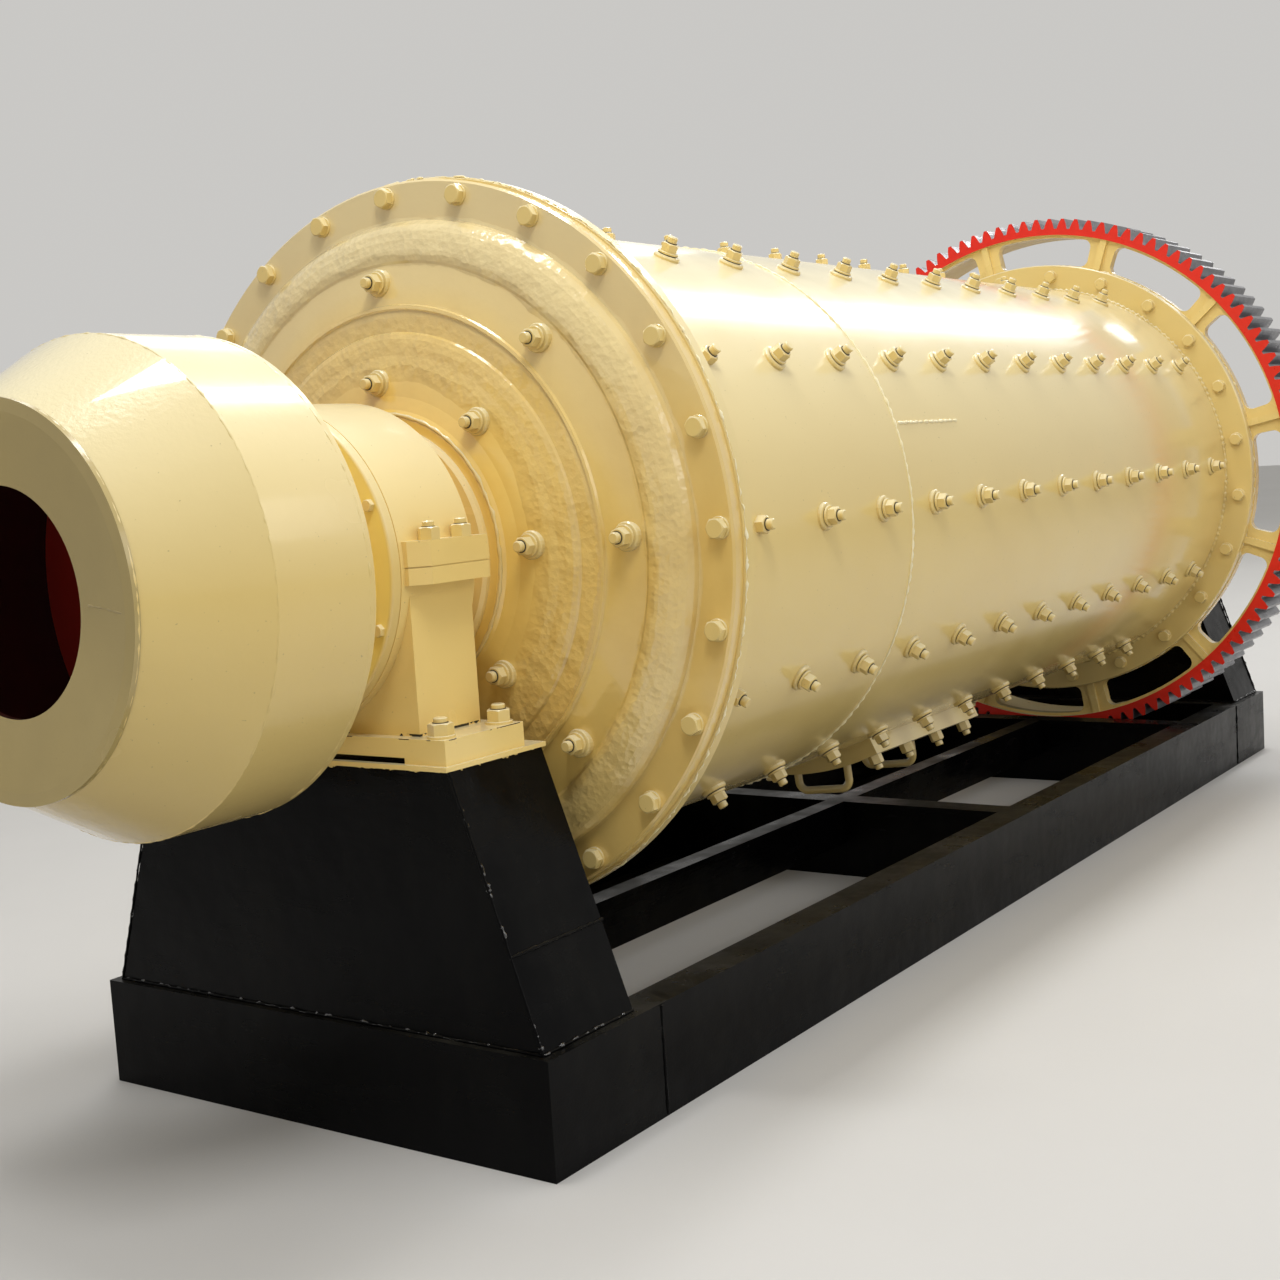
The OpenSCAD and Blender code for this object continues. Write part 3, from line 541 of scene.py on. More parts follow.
# Dark red inside the feeder and on the front plate's bore, darkened as painted shade.
SHADED_INSIDE = ((0.05, 0.008, 0.005, 1), (0.02, 0.006, 0.004, 1))
BRIGHT_PRIMER = ((0.95, 0.045, 0.018, 1), (0.8, 0.034, 0.014, 1))
DRY_COAT, WET_COAT = (0.4, 0.1, 0.5), (0.75, 0.05, 0.2)
RUN_DEPTH = 0.0011


def make_feeder(name, inner, runs=0.0):
    finish, tree, shader = new_finish(name)
    mask = maths(tree, "LESS_THAN", outward(tree), -0.09)
    if inner != "wall":
        along = parts(tree, surface(tree).outputs["Normal"])[0]
        facing = maths(tree, "MULTIPLY", along, 1.0 if inner == "behind" else -1.0)
        mask = maths(tree, "MAXIMUM", mask, maths(tree, "GREATER_THAN", facing, 0.5))
    tones = BRIGHT_PRIMER if inner == "front" else SHADED_INSIDE
    inner_paint = blend_colour(tree, noise(tree, 20.0), *tones)
    paint = cream_colour(tree)
    if inner == "behind":
        # Painted shade: the front plate is painted darker in patches.
        face_shade = between(tree, noise(tree, 3.5, 3.0), 0.3, 0.7, 0.75, 0.95)
        paint = blend_colour(tree, face_shade, paint, FACE_SHADE_TONE)
    plug(tree, shader, "Base Color", blend_colour(tree, mask, paint, inner_paint))
    plug(tree, shader, "Roughness", maths(tree, "MULTIPLY_ADD", mask, 0.3, uneven(tree, 0.16, 0.3)))
    clear_coat(shader, *(WET_COAT if runs else DRY_COAT))
    grain = maths(tree, "MULTIPLY", noise(tree, 110.0, 3.0, 0.6), upward(tree, 0.5, 0.7))
    bumps(tree, shader, [(noise(tree, 5.0, 2.0), 0.0015), (noise(tree, 45.0, 2.0, 0.5), 0.0004), (grain, runs)])
    return finish


feeder_wall = make_feeder("feeder_wall", "wall")
feeder_wet_wall = make_feeder("feeder_wet_wall", "wall", RUN_DEPTH)
feeder_plate = make_feeder("feeder_plate", "behind")
feeder_back_plate = make_feeder("feeder_back_plate", "front")
print("made", feeder_wall.name, feeder_wet_wall.name, feeder_plate.name, feeder_back_plate.name)

# %% [markdown]
# ## Dress the CAD nodes
# Each node keeps its shape and only takes its finish. The names could be matched by their words, but a plain
# list is easier to read. Nodes that aren't listed belong to the skid and are black.

# %% Give every node its finish
FINISHES = {
    cream_enamel: [
        "shell", "feed_flange", "discharge_flange", "discharge_spout", "manhole_curb", "manhole_cover",
        "manhole_handle_front", "manhole_handle_rear",
    ],
    bearing_cream: [
        "feed_bearing_housing", "feed_bearing_cap", "feed_sole_plate",
        "discharge_bearing_housing", "discharge_bearing_cap", "discharge_sole_plate",
    ],
    cream_casting: ["feed_head", "discharge_head"],
    cream_smooth_casting: ["feed_trunnion", "discharge_trunnion", "gear_arms"],
    yellow_cover: ["feed_bearing_outer_cover", "discharge_bearing_outer_cover"],
    ochre_cover: ["feed_bearing_inner_cover", "discharge_bearing_inner_cover"],
    red_gear: ["gear_rim"],
    red_primer: ["feeder_scoop"],
    feeder_wall: ["feeder_drum"],
    feeder_wet_wall: ["feeder_cone"],
    feeder_plate: ["feeder_face"],
    feeder_back_plate: ["feeder_back"],
    liner_steel: ["shell_liner", "feed_head_liner", "discharge_head_liner"],
    black_pedestal: ["feed_pedestal", "discharge_pedestal"],
}
finish_of = {name: finish for finish, names in FINISHES.items() for name in names}
for name, node in nodes.items():
    node.data.materials.clear()
    node.data.materials.append(finish_of.get(name, black_enamel))
print("dressed", len(nodes), "nodes")

# %% [markdown]
# ## One bolt
# A liner bolt shows a dished sealing washer, a flat washer, a hexagon nut and the stud's end. Lathe work
# and a hexagon are both a stack of loops, so one function builds a bolt from rows of (sides, radius,
# height). A nut's corners are cut by a cone: at every step round, the height drops with the radius.


# %% Bolt builder
def loop_points(sides, radius, height, cone):
    points = []
    for step in range(24):
        turn = math.radians(step * 15)
        reach = radius
        if sides == 6:
            reach = radius * math.cos(math.radians(30)) / math.cos(math.radians((step * 15) % 60 - 30))
        drop = cone * (reach / radius - math.cos(math.radians(30)))
        points.append(Vector((reach * math.cos(turn), reach * math.sin(turn), height - drop)))
    return points


models = []


def build_bolt(name, stack, axis):
    mesh = bpy.data.meshes.new(name)
    shape = bmesh.new()
    gap = shape.faces.layers.bool.new("gap")
    turn = Vector((0, 0, 1)).rotation_difference(Vector(axis)).to_matrix()
    for rows, is_gap in stack:
        loops = [[shape.verts.new(turn @ (p * MM)) for p in loop_points(*row)] for row in rows]
        faces = [shape.faces.new(reversed(loops[0])), shape.faces.new(loops[-1])]
        for low, high in zip(loops, loops[1:]):
            for i in range(24):
                faces.append(shape.faces.new((low[i], low[(i + 1) % 24], high[(i + 1) % 24], high[i])))
        for face in faces:
            face[gap] = is_gap
    bmesh.ops.recalc_face_normals(shape, faces=shape.faces)
    shape.to_mesh(mesh)
    shape.free()
    models.append(bpy.data.objects.new(name, mesh))
    return models[-1]


def washer(radius, low, high):
    return [(24, radius, low, 0), (24, radius, high - 1, 0), (24, radius - 1, high, 0)], False


def nut(radius, low, high):
    return [(6, radius, low, 0), (6, radius, high - 1, 12), (24, radius * 0.8, high, 0)], False


def stud(radius, low, high):
    return [(24, radius, low, 0), (24, radius, high - 2, 0), (24, radius - 2, high, 0)], False


# A dark band that stands for the shade in a bolt's gap: painted shade.
def dark_ring(radius, low, high):
    return [(24, radius, low, 0), (24, radius, high, 0)], True


def cup(radius, low, high):
    side = [(24, radius, low, 0), (24, radius, high - 4, 0)]
    return side + [(24, radius - 2, high - 1, 0), (24, radius - 6, high, 0)], False


print("bolt builder ready")

# %% [markdown]
# ## The bolts this mill uses
# Radial bolts point to the near side before they are placed (axis -Y); bolts on flanges point along the
# mill (axis -X for the feed side, +X for the discharge side), and foundation bolts point up.

# %% Bolt patterns
liner_stack = [
    cup(27, -2, 8), dark_ring(19, 8, 10), washer(21, 10, 14),
    nut(17.5, 14, 31), dark_ring(11.5, 31, 32.5), stud(10, 31, 44),
]
short_stack = [nut(17.5, -2, 17), dark_ring(11.5, 17, 18.5), stud(10, 17, 31)]
curb_stack = [washer(21, -2, 4), nut(17.5, 4, 31), dark_ring(11.5, 31, 32.5), stud(10, 31, 44)]
head_stack = [
    cup(26, -8, 6), dark_ring(19, 6, 8), washer(21, 8, 12),
    nut(17.5, 12, 29), dark_ring(11.5, 29, 30.5), stud(10, 29, 41),
]
flange_stack = [washer(20, -1, 4), nut(19, 4, 18)]
cover_stack = [nut(11, -1, 9)]
pin_stack = [washer(24, -1, 5), nut(22, 5, 25), dark_ring(13.5, 25, 26), stud(12, 25, 34)]
cap_stack = [nut(19, -1, 21), dark_ring(11.5, 21, 22), stud(10, 21, 31)]

liner_bolt = build_bolt("liner_bolt", liner_stack, (0, -1, 0))
short_bolt = build_bolt("short_bolt", short_stack, (0, -1, 0))
curb_bolt = build_bolt("curb_bolt", curb_stack, (0, -1, 0))
head_bolt_feed = build_bolt("head_bolt_feed", head_stack, (-1, 0, 0))
head_bolt_discharge = build_bolt("head_bolt_discharge", head_stack, (1, 0, 0))
flange_bolt_feed = build_bolt("flange_bolt_feed", flange_stack, (-1, 0, 0))
flange_bolt_discharge = build_bolt("flange_bolt_discharge", flange_stack, (1, 0, 0))
cover_bolt_feed = build_bolt("cover_bolt_feed", cover_stack, (-1, 0, 0))
cover_bolt_discharge = build_bolt("cover_bolt_discharge", cover_stack, (1, 0, 0))
foundation_bolt = build_bolt("foundation_bolt", pin_stack, (0, 0, 1))
cap_bolt = build_bolt("cap_bolt", cap_stack, (0, 0, 1))
print("liner bolt faces:", len(liner_bolt.data.polygons))

# %% [markdown]
# ## Bolts in rings and rows
# A drum has bolts by the hundred, and each could be placed by hand or by a loop. Geometry Nodes do it from
# a handful of named numbers: rings along the mill, bolts per ring, the first angle and the pitch. Every
# bolt gets a small random spin about its own axis, as a spanner leaves it. The tree ends in Realize
# Instances and Set Material, and the dark gaps take their own finish through a stored face mask.


# %% The bolt ring tree
HEXAGON_TURN = 1.047


def new_tree(title, inputs):
    tree = bpy.data.node_groups.new(title, "GeometryNodeTree")
    tree.interface.new_socket("Geometry", in_out="OUTPUT", socket_type="NodeSocketGeometry")
    for label, kind, value in inputs:
        socket = tree.interface.new_socket(label, in_out="INPUT", socket_type="NodeSocket" + kind)
        if value is not None:
            socket.default_value = value
    return tree, tree.nodes.new("NodeGroupInput").outputs, tree.nodes.new("NodeGroupOutput")


def paint_and_finish(tree, geometry, given, out):
    solid = add(tree, "GeometryNodeRealizeInstances", {0: geometry}).outputs[0]
    painted = add(tree, "GeometryNodeSetMaterial", {"Geometry": solid, "Material": given["Paint"]}).outputs[0]
    mask = add(tree, "GeometryNodeInputNamedAttribute", {"Name": "gap"}, data_type="BOOLEAN").outputs[0]
    wires = {"Geometry": painted, "Selection": mask, "Material": given["Gap Paint"]}
    tree.links.new(add(tree, "GeometryNodeSetMaterial", wires).outputs[0], out.inputs[0])


def make_ring_tree():
    tree, given, out = new_tree("bolt_rings", [
        ("Bolt", "Object", None), ("Paint", "Material", None), ("Gap Paint", "Material", None),
        ("Rings", "Int", 1), ("Ring Pitch", "Float", 0.0), ("First Station", "Float", 0.0),
        ("Per Ring", "Int", 12), ("First Angle", "Float", 0.0), ("Angle Pitch", "Float", 30.0),
        ("Radius", "Float", 0.6), ("Axis Height", "Float", 1.0),
        ("Spin Axis", "Vector", (0, 1, 0)), ("Seed", "Int", 1),
    ])
    index = add(tree, "GeometryNodeInputIndex").outputs[0]
    ring = maths(tree, "FLOOR", maths(tree, "DIVIDE", index, given["Per Ring"]))
    slot = maths(tree, "SUBTRACT", index, maths(tree, "MULTIPLY", ring, given["Per Ring"]))
    degrees = maths(tree, "MULTIPLY_ADD", slot, given["Angle Pitch"], given["First Angle"])
    angle = maths(tree, "RADIANS", degrees)
    x = maths(tree, "MULTIPLY_ADD", ring, given["Ring Pitch"], given["First Station"])
    y = maths(tree, "MULTIPLY", maths(tree, "MULTIPLY", maths(tree, "COSINE", angle), given["Radius"]), -1.0)
    z = maths(tree, "MULTIPLY_ADD", maths(tree, "SINE", angle), given["Radius"], given["Axis Height"])
    place = add(tree, "ShaderNodeCombineXYZ", {0: x, 1: y, 2: z}).outputs[0]
    count = maths(tree, "MULTIPLY", given["Rings"], given["Per Ring"])
    points = add(tree, "GeometryNodePoints", {"Count": count, "Position": place}).outputs[0]
    lean = add(tree, "ShaderNodeCombineXYZ", {0: maths(tree, "MULTIPLY", angle, -1.0)}).outputs[0]
    shape = add(tree, "GeometryNodeObjectInfo", {"Object": given["Bolt"]}).outputs["Geometry"]
    wires = {"Points": points, "Instance": shape, "Rotation": lean}
    copies = add(tree, "GeometryNodeInstanceOnPoints", wires).outputs[0]
    wires = {2: 0.0, 3: HEXAGON_TURN, "Seed": given["Seed"]}
    chance = add(tree, "FunctionNodeRandomValue", wires, data_type="FLOAT").outputs[1]
    wires = {0: given["Spin Axis"], "Scale": chance}
    spin = add(tree, "ShaderNodeVectorMath", wires, operation="SCALE").outputs[0]
    spun = add(tree, "GeometryNodeRotateInstances", {"Instances": copies, "Rotation": spin}).outputs[0]
    paint_and_finish(tree, spun, given, out)
    return tree


ring_tree = make_ring_tree()
print("ring tree nodes:", len(ring_tree.nodes))


# %% [markdown]
# ## From a tree to a plain piece
# A tree runs as a modifier on a carrier object. Its result is copied into a plain mesh and the carrier is
# thrown away, so that the piece can ride on a body like any other.


# %% Run a tree and keep plain mesh
def set_inputs(modifier, tree, values):
    for item in tree.interface.items_tree:
        if item.in_out == "INPUT" and item.name in values:
            modifier[item.identifier] = values[item.name]


def plain_mesh(name, carrier, modifier):
    bpy.context.view_layer.update()
    graph = bpy.context.evaluated_depsgraph_get()
    mesh = bpy.data.meshes.new_from_object(carrier.evaluated_get(graph))
    carrier.modifiers.remove(modifier)
    piece = bpy.data.objects.new(name, mesh)
    bpy.context.scene.collection.objects.link(piece)
    old = carrier.data
    bpy.data.objects.remove(carrier)
    if isinstance(old, bpy.types.Mesh):
        bpy.data.meshes.remove(old)
    return piece


def grow(name, tree, values, data=None):
    carrier = bpy.data.objects.new(name + "_carrier", data or bpy.data.meshes.new(name + "_carrier"))
    bpy.context.scene.collection.objects.link(carrier)
    modifier = carrier.modifiers.new("nodes", "NODES")
    modifier.node_group = tree
    set_inputs(modifier, tree, values)
    return plain_mesh(name, carrier, modifier)


def settle(piece, body):
    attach(piece, body)
    triangles = sum(len(p.vertices) - 2 for p in piece.data.polygons)
    print(piece.name, "on", body, "triangles", triangles)


print("tree runner ready")

# %% [markdown]
# ## Liner bolts
# Twelve rows of bolts hold the lifter bars inside the shell, 240 mm apart. The row below the drum is broken
# by the manhole. The bolts next to the feed flange carry a nut only.

# %% Place the liner bolts
COMMON = {"Paint": cream_enamel, "Gap Paint": bolt_gap_shade, "Axis Height": AXIS}


def ring(name, bolt, mm, per_ring, angle, pitch, radius, **more):
    values = dict(COMMON)
    values.update({
        "Bolt": bolt, "First Station": station(mm), "Per Ring": per_ring, "First Angle": angle,
        "Angle Pitch": pitch, "Radius": radius * MM,
    })
    values.update({key.replace("_", " "): value for key, value in more.items()})
    return grow(name, ring_tree, values)


def join(name, pieces):
    data = bpy.data.meshes.new(name)
    shape = bmesh.new()
    slots = []
    for piece in pieces:
        start = len(shape.faces)
        shape.from_mesh(piece.data)
        shape.faces.ensure_lookup_table()
        for face in shape.faces[start:]:
            material = piece.data.materials[face.material_index]
            if material not in slots:
                slots.append(material)
            face.material_index = slots.index(material)
    shape.to_mesh(data)
    shape.free()
    for material in slots:
        data.materials.append(material)
    for piece in pieces:
        bpy.data.objects.remove(piece)
    joined = bpy.data.objects.new(name, data)
    bpy.context.scene.collection.objects.link(joined)
    return joined


SHELL_MM = SHELL_R / MM
liner_bolts = join("liner_bolts", [
    ring("liner_first", short_bolt, 180, 12, 2, 30, SHELL_MM, Seed=1),
    ring("liner_rows", liner_bolt, 420, 11, -58, 30, SHELL_MM, Rings=11, Ring_Pitch=0.24, Seed=2),
    ring("liner_low_front", liner_bolt, 420, 1, -88, 30, SHELL_MM, Rings=4, Ring_Pitch=0.24, Seed=3),
    ring("liner_low_rear", liner_bolt, 1860, 1, -88, 30, SHELL_MM, Rings=5, Ring_Pitch=0.24, Seed=4),
])
settle(liner_bolts, "drum")

# %% [markdown]
# ## Flange bolts and head bolts
# The heads hang on 24 bolts at each joint, and 16 more hold the head's own liners, in two rings.

# %% Place the flange and head bolts
ALONG = (1, 0, 0)
FEED_JOINT_R, GEAR_JOINT_R = 660, 655
HEAD_OUTER_R, HEAD_INNER_R = 502, 318
feed_flange_bolts = ring(
    "feed_flange_bolts", flange_bolt_feed, -28, 24, 2.5, 15, FEED_JOINT_R, Spin_Axis=ALONG, Seed=5,
)
settle(feed_flange_bolts, "drum")
rear_flange_bolts = join("rear_flange_bolts", [
    ring("rear_flange_front", flange_bolt_feed, 2972, 24, 8.5, 15, GEAR_JOINT_R, Spin_Axis=ALONG, Seed=6),
    ring("rear_flange_back", flange_bolt_discharge, 3074, 24, 8.5, 15, GEAR_JOINT_R, Spin_Axis=ALONG, Seed=7),
])
settle(rear_flange_bolts, "drum")
head_bolts = join("head_bolts", [
    ring("head_outer_feed", head_bolt_feed, -74, 8, 2.5, 45, HEAD_OUTER_R, Spin_Axis=ALONG, Seed=8),
    ring("head_inner_feed", head_bolt_feed, -104, 8, 2.5, 45, HEAD_INNER_R, Spin_Axis=ALONG, Seed=9),
    ring("head_outer_discharge", head_bolt_discharge, 3120, 8, 2.5, 45, HEAD_OUTER_R, Spin_Axis=ALONG, Seed=10),
    ring("head_inner_discharge", head_bolt_discharge, 3150, 8, 2.5, 45, HEAD_INNER_R, Spin_Axis=ALONG, Seed=11),
])
settle(head_bolts, "drum")

# %% [markdown]
# ## Bearing bolts
# Each end cover is held by eight small bolts, each bearing cap by two studs on either side, and the foot by
# four foundation bolts. They are mirrored from the feed bearing to the discharge bearing.

# %% Place the bearing bolts
def bearing_centre(end):
    low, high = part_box(end + "_bearing_housing")
    return ((low[0] + high[0]) / 2 - JOINT) / MM


def stand(bolt, spots, seed):
    rng = random.Random(seed)
    shape = bmesh.new()
    for x, y, z in spots:
        start = len(shape.verts)
        shape.from_mesh(bolt.data)
        shape.verts.ensure_lookup_table()
        placed = Matrix.Translation((x, y, z)) @ Matrix.Rotation(rng.uniform(0, HEXAGON_TURN), 4, "Z")
        bmesh.ops.transform(shape, matrix=placed, verts=shape.verts[start:])
    return shape


def upright(name, bolt, centre_mm, spots, z_mm, seed):
    side = 1 if centre_mm < 0 else -1
    places = [(station(centre_mm + side * x), y * MM, AXIS + z_mm * MM) for x, y in spots]
    shape = stand(bolt, places, seed)
    data = bpy.data.meshes.new(name)
    gap = shape.faces.layers.bool.get("gap")
    for face in shape.faces:
        face.material_index = 1 if face[gap] else 0
    shape.to_mesh(data)
    shape.free()
    data.materials.append(cream_enamel)
    data.materials.append(bolt_gap_shade)
    piece = bpy.data.objects.new(name, data)
    bpy.context.scene.collection.objects.link(piece)
    return piece


CAP_SPOTS = [(x, y) for x in (-40, 40) for y in (-297, 297)]
FOOT_SPOTS = [(x, y) for x in (-74, 74) for y in (-322, 322)]
EAR_TOP, FOOT_TOP = 42, -280
OUTER_FACE, INNER_FACE = 118, 108
OUTER_BOLT_R, INNER_BOLT_R = 266, 222
for end, outer, inner in (
    ("feed", cover_bolt_feed, cover_bolt_discharge),
    ("discharge", cover_bolt_discharge, cover_bolt_feed),
):
    centre = bearing_centre(end)
    out = -1 if end == "feed" else 1
    bolts = join(end + "_bearing_bolts", [
        upright(end + "_cap", cap_bolt, centre, CAP_SPOTS, EAR_TOP, 20),
        upright(end + "_foot", foundation_bolt, centre, FOOT_SPOTS, FOOT_TOP, 21),
        ring(end + "_outer", outer, centre + out * OUTER_FACE, 8, 23, 45, OUTER_BOLT_R,
             Spin_Axis=ALONG, Seed=12),
        ring(end + "_inner", inner, centre - out * INNER_FACE, 8, 23, 45, INNER_BOLT_R,
             Spin_Axis=ALONG, Seed=13),
    ])
    settle(bolts, "base")

# %% [markdown]
# ## Manhole bolts
# The cover is clamped by a row of bolts along each straight edge of the curb.

# %% Place the manhole bolts
CURB_BOLT_R, HOLE_ANGLE, HALF_ANGLE = 645, -84, 17.2
manhole_bolts = join("manhole_bolts", [
    ring(f"manhole_{i}", curb_bolt, mm, 2, HOLE_ANGLE - HALF_ANGLE, 2 * HALF_ANGLE, CURB_BOLT_R, Seed=30 + i)
    for i, mm in enumerate((1246, 1415, 1585, 1754))
])
settle(manhole_bolts, "drum")

# %% [markdown]
# ## Weld beads
# Plates meet in weld beads: a low ridge with ripples. A bead could be sculpted, but it always follows a
# path, so a tree sweeps a small round section along it, with the ripple and a slight wander from noise. The
# Cut input takes the same amount off all along, which leaves blobs and a hair between them: drops of paint.


# %% The bead tree
def make_bead_tree():
    tree, given, out = new_tree("weld_bead", [
        ("Path", "Geometry", None), ("Paint", "Material", None), ("Width", "Float", 0.006),
        ("Step", "Float", 0.004), ("Ripple", "Float", 0.25), ("Wander", "Float", 0.001), ("Seed", "Float", 0.0),
        ("Cut", "Float", 0.0),
    ])
    wires = {"Curve": given["Path"], "Length": given["Step"]}
    path = add(tree, "GeometryNodeResampleCurve", wires, mode="LENGTH").outputs[0]
    spot = add(tree, "GeometryNodeInputPosition").outputs[0]
    wires = {"Vector": spot, "W": given["Seed"], "Scale": 60.0}
    texture = add(tree, "ShaderNodeTexNoise", wires, noise_dimensions="4D").outputs
    wires = {0: texture["Color"], 1: (0.5, 0.5, 0.5)}
    centred = add(tree, "ShaderNodeVectorMath", wires, operation="SUBTRACT").outputs[0]
    wires = {0: centred, "Scale": given["Wander"]}
    shift = add(tree, "ShaderNodeVectorMath", wires, operation="SCALE").outputs[0]
    path = add(tree, "GeometryNodeSetPosition", {"Geometry": path, "Offset": shift}).outputs[0]
    index = add(tree, "GeometryNodeInputIndex").outputs[0]
    wave = maths(tree, "MULTIPLY", maths(tree, "SINE", maths(tree, "MULTIPLY", index, 2.1)), given["Ripple"])
    body = maths(tree, "MAXIMUM", maths(tree, "SUBTRACT", texture["Fac"], given["Cut"]), 0.02)
    size = maths(tree, "MULTIPLY", maths(tree, "ADD", wave, body), given["Width"])
    section = add(tree, "GeometryNodeCurvePrimitiveCircle", {"Resolution": 6, "Radius": 1.0}).outputs[0]
    wires = {"Curve": path, "Profile Curve": section, "Scale": size, "Fill Caps": True}
    swept = add(tree, "GeometryNodeCurveToMesh", wires).outputs[0]
    solid = add(tree, "GeometryNodeRealizeInstances", {0: swept}).outputs[0]
    painted = add(tree, "GeometryNodeSetMaterial", {"Geometry": solid, "Material": given["Paint"]}).outputs[0]
    tree.links.new(painted, out.inputs[0])
    return tree


bead_tree = make_bead_tree()


def path_curve(name, lines):
    curve = bpy.data.curves.new(name, "CURVE")
    curve.dimensions = "3D"
    for points, closed in lines:
        spline = curve.splines.new("POLY")
        spline.points.add(len(points) - 1)
        for point, place in zip(spline.points, points):
            point.co = (*place, 1)
        spline.use_cyclic_u = closed
    return curve


def circle_line(mm, radius_mm, steps=180):
    return [at(mm, radius_mm * MM, 360 * i / steps) for i in range(steps)], True


def bead(name, lines, body, paint, slot, **sizes):
    values = {"Paint": paint}
    values.update({key.replace("_", " "): value for key, value in sizes.items()})
    piece = grow(name, bead_tree, values, path_curve(name, lines))
    settle(piece, body)


print("bead tree nodes:", len(bead_tree.nodes))

# %% [markdown]
# ## Seams of the drum and the feeder
# The shell is rolled from two courses, so it has one seam round it and one along each course. The long
# seams are ground flush and only show where they meet the round one. The feeder's front plate, cone and
# drum are welded on their edges, and these beads are dressed down to a fine line. A bead of sealant runs
# round the boss of each head.

# %% Drum seams
COURSE_JOINT = 792
SEAM_R = SHELL_R + 0.0003
seam_lines = [
    circle_line(COURSE_JOINT, SEAM_R / MM),
    ([at(805, SEAM_R, 18.3), at(1090, SEAM_R, 18.3)], False),
    ([at(520, SEAM_R, 152), at(790, SEAM_R, 152)], False),
]
# The shell's seam bead is painted pale as a painted highlight.
bead("shell_seams", seam_lines, "drum", highlight_seam, "cream_enamel", Width=0.006, Step=0.008, Wander=0.003)
bead("flange_seams", [circle_line(29, SHELL_MM + 1), circle_line(2971, SHELL_MM + 1)],
     "drum", cream_enamel, "cream_enamel", Width=0.011, Step=0.006, Wander=0.002)
FEEDER_FRONT, FACE_EDGE_R, FACE_SLOPE, FACE_SINK = -950, 280, 10 / 108, 1.6
WELD_ANGLE, WELD_TURN = 3.596, -0.024
face_weld = [
    at(
        FEEDER_FRONT + FACE_SLOPE * (FACE_EDGE_R - radius) + FACE_SINK, radius * MM,
        WELD_ANGLE + WELD_TURN * radius,
    )
    for radius in range(192, 276, 8)
]
bead("feeder_seams", [circle_line(FEEDER_FRONT + 7, 297.5), circle_line(-773, 390.5), circle_line(-587, 391)],
     "drum", cream_enamel, "cream_enamel", Width=0.0055, Step=0.009, Ripple=0.1, Wander=0.0035)
bead("face_seam", [(face_weld, False)], "drum", shaded_face_seam, "cream_enamel",
     Width=0.0045, Step=0.007, Ripple=0.1, Wander=0.0025)
bead("boss_seam", [circle_line(-123.5, 261.5), circle_line(3169.5, 261.5)],
     "drum", cream_enamel, "cream_enamel", Width=0.0065, Step=0.011, Ripple=0.1, Wander=0.006)

# %% [markdown]
# ## Drips along the joint
# The bolted joint was painted over when the mill stood together, so paint hangs in small drips along it.

# %% Joint drips
FLANGE_R_MM = (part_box("feed_flange")[1][1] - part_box("feed_flange")[0][1]) / 2 / MM
# The drips are painted pale as a painted highlight.
bead("joint_drips", [circle_line(1, FLANGE_R_MM), circle_line(2999, FLANGE_R_MM)],
     "drum", highlight_seam, "cream_enamel", Width=0.017, Step=0.004, Ripple=0.0, Wander=0.012, Cut=0.46)

# %% [markdown]
# ## Seams of the pedestals and the skid
# Black beads close the boxes: along the foot of each pedestal, up its outer edges, across its sloping sides,
# and where the side beams join the end boxes.

# %% Skid seams
FOOT_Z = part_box("feed_pedestal")[0][2]
PATCH_H, SEAM_RISE, SEAM_LIFT = 0.155, 0.45, 0.002


def pedestal(end):
    low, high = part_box(end + "_pedestal")
    lean = (high[1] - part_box(end + "_sole_plate")[1][1]) / (high[2] - low[2])
    return low, high, lean, low[0] if end == "feed" else high[0]


def edge_line(x, y, lean, rise):
    return [(x, y, FOOT_Z), (x, y - math.copysign(lean * rise, y), FOOT_Z + rise)], False


def side_line(low, high, y, z):
    return [(low[0], y, z), (high[0], y, z)], False


def front_line(low, high, x, z):
    return [(x, low[1], z), (x, high[1], z)], False


skid_lines = []
for end in ("feed", "discharge"):
    low, high, lean, outer = pedestal(end)
    skid_lines += [front_line(low, high, x, FOOT_Z + SEAM_LIFT) for x in (low[0], high[0])]
    for side in (-1, 1):
        skid_lines.append(edge_line(outer, side * high[1], lean, SEAM_RISE))
        skid_lines.append(side_line(low, high, side * high[1], FOOT_Z + SEAM_LIFT))
        skid_lines.append(side_line(low, high, side * (high[1] - lean * PATCH_H), FOOT_Z + PATCH_H))
for name in ("skid_beam_near", "skid_beam_far"):
    low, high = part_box(name)
    outer = low[1] if name.endswith("near") else high[1]
    for x in (low[0], high[0]):
        skid_lines.append(([(x, outer, 0.004), (x, outer, high[2] - 0.003)], False))
bead("skid_seams", skid_lines, "base", black_enamel, "black_enamel",
     Width=0.0055, Step=0.01, Ripple=0.1, Wander=0.003)

# %% [markdown]
# ## Drops of black paint
# The brush left more paint in the corners than they hold, so drops stand along the foot and the outer edges
# of each pedestal. They are the same bead, wider and cut until only blobs are left.

# %% Wet drops of black paint
DROP_RISE, DROP_LIFT = 0.4, 0.003
drop_lines = []
for end in ("feed", "discharge"):
    low, high, lean, outer = pedestal(end)
    drop_lines.append(front_line(low, high, outer, FOOT_Z + DROP_LIFT))
    for side in (-1, 1):
        drop_lines.append(side_line(low, high, side * high[1], FOOT_Z + DROP_LIFT))
        drop_lines.append(edge_line(outer, side * high[1], lean, DROP_RISE))
bead("paint_drops", drop_lines, "base", wet_black, "black_enamel",
     Width=0.03, Step=0.003, Ripple=0.0, Wander=0.012, Cut=0.5)

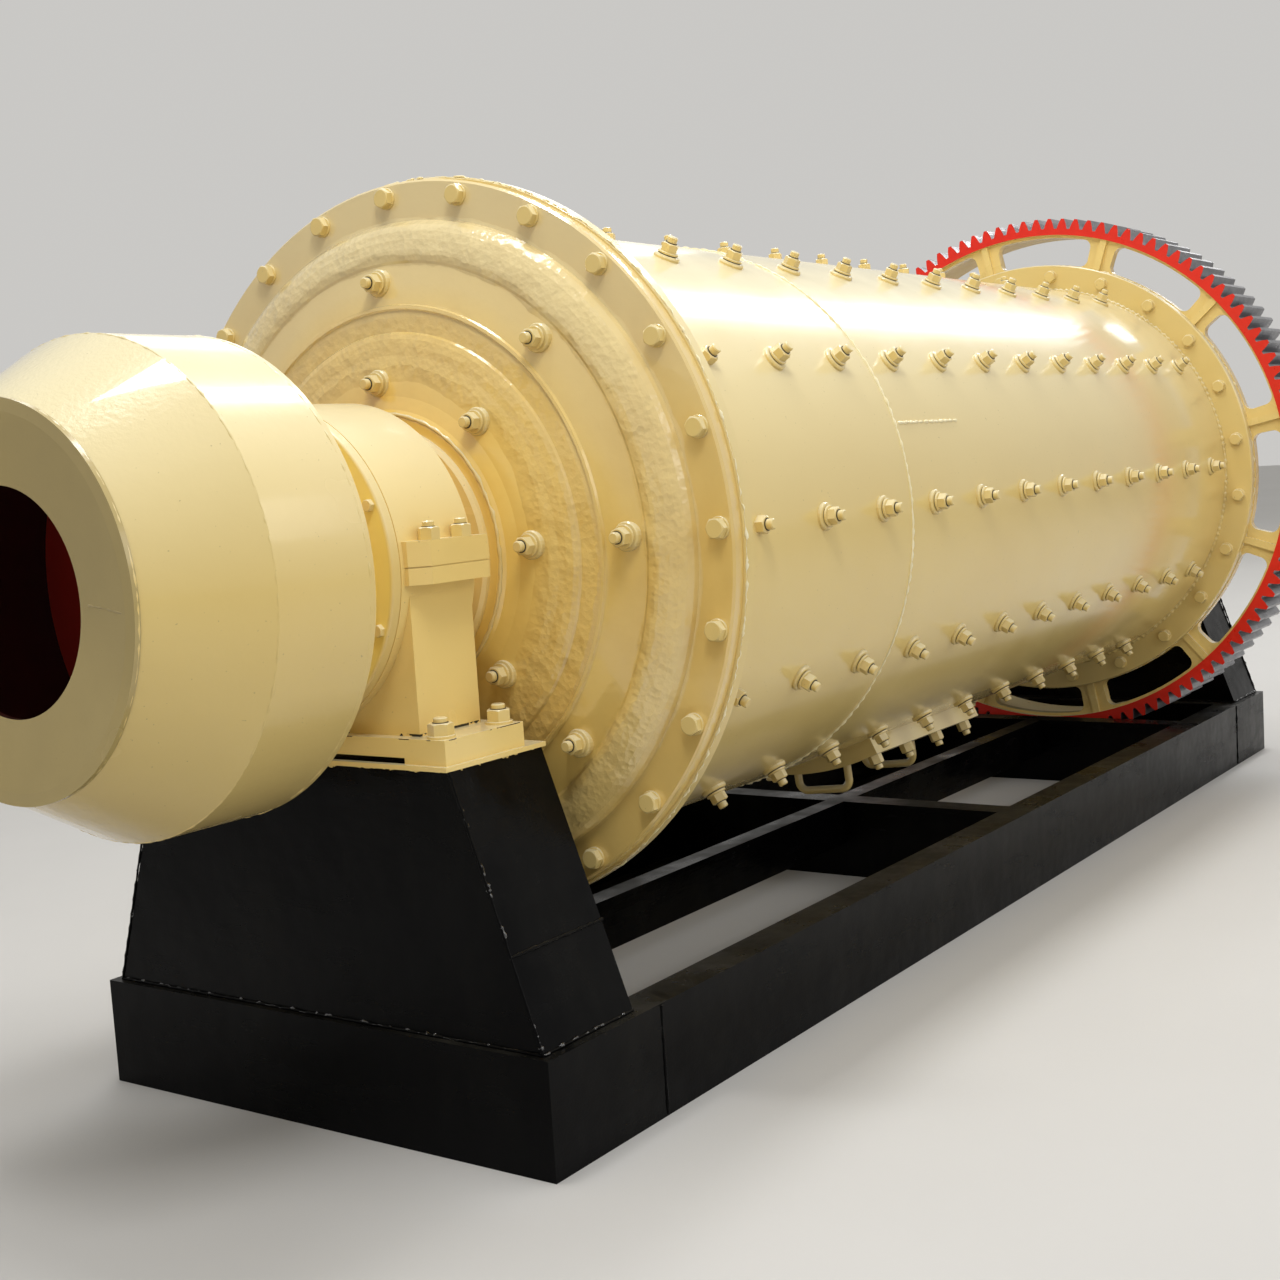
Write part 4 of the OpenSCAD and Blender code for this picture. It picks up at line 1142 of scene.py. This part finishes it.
# %% [markdown]
# ## Floor, backdrop and light
# A plain pale floor that runs into the backdrop keeps the eye on the machine. A long strip right above the
# mill's axis, broken near its far end and wider at its near end, is what the drum and the feeder mirror as
# highlights. Soft lamps fill the near side, the head and the far side; the one for the head isn't mirrored.

# %% Stage
floor_mesh = bpy.data.meshes.new("floor")
HALF = 40
PALE, PALE_DEEP = (0.62, 0.61, 0.59, 1), (0.56, 0.55, 0.53, 1)
corners = [(-HALF, -HALF, 0), (HALF, -HALF, 0), (HALF, HALF, 0), (-HALF, HALF, 0)]
floor_mesh.from_pydata(corners, [], [(0, 1, 2, 3)])
floor = bpy.data.objects.new("floor", floor_mesh)
bpy.context.scene.collection.objects.link(floor)
finish, tree, shader = new_finish("pale_floor")
plug(tree, shader, "Base Color", blend_colour(tree, noise(tree, 0.8, 4.0), PALE, PALE_DEEP))
plug(tree, shader, "Roughness", 0.75)
floor_mesh.materials.append(finish)

world = bpy.data.worlds.new("studio")
world.use_nodes = True
tree = world.node_tree
sky = tree.nodes["Background"]
sky.inputs[0].default_value = PALE
toward = parts(tree, surface(tree).outputs["Generated"])
tree.links.new(between(tree, toward[0], -1.0, 0.6, 0.7, 0.95), sky.inputs[1])
bpy.context.scene.world = world
bpy.context.scene.view_settings.view_transform = "Standard"


def lamp(name, place, target, power, width, depth, mirrored=True):
    light = bpy.data.lights.new(name, "AREA")
    light.shape = "RECTANGLE"
    light.size, light.size_y, light.energy = width, depth, power
    spot = bpy.data.objects.new(name, light)
    spot.location = place
    spot.rotation_euler = (Vector(target) - Vector(place)).to_track_quat("-Z", "Y").to_euler()
    spot.visible_camera = False
    spot.visible_glossy = mirrored
    bpy.context.scene.collection.objects.link(spot)


lamp("ceiling", (3.975, 0.05, 5.0), (3.975, 0.05, 0), 234, 12.55, 0.7)
lamp("ceiling_near", (-2.1, 0.25, 4.99), (-2.1, 0.25, 0), 22, 0.4, 0.9)
lamp("ceiling_far", (11.15, 0.0, 5.0), (11.15, 0.0, 0), 26, 1.0, 1.0)
lamp("fill", (0.5, -5.5, 3.6), (0, 0, 0.9), 60, 6.0, 2.0)
lamp("head", (-2.9, -1.6, 4.2), (-1.45, -0.1, 1.1), 60, 0.9, 1.2, mirrored=False)
lamp("back", (3.5, 4.0, 4.5), (0.5, 0, 1.0), 40, 4.0, 2.0)
print("stage and lamps ready")

# %% [markdown]
# ## Clearing up
# The bolts that the rings copied are removed.

# %% Clearing up
for model in models:
    bpy.data.objects.remove(model)
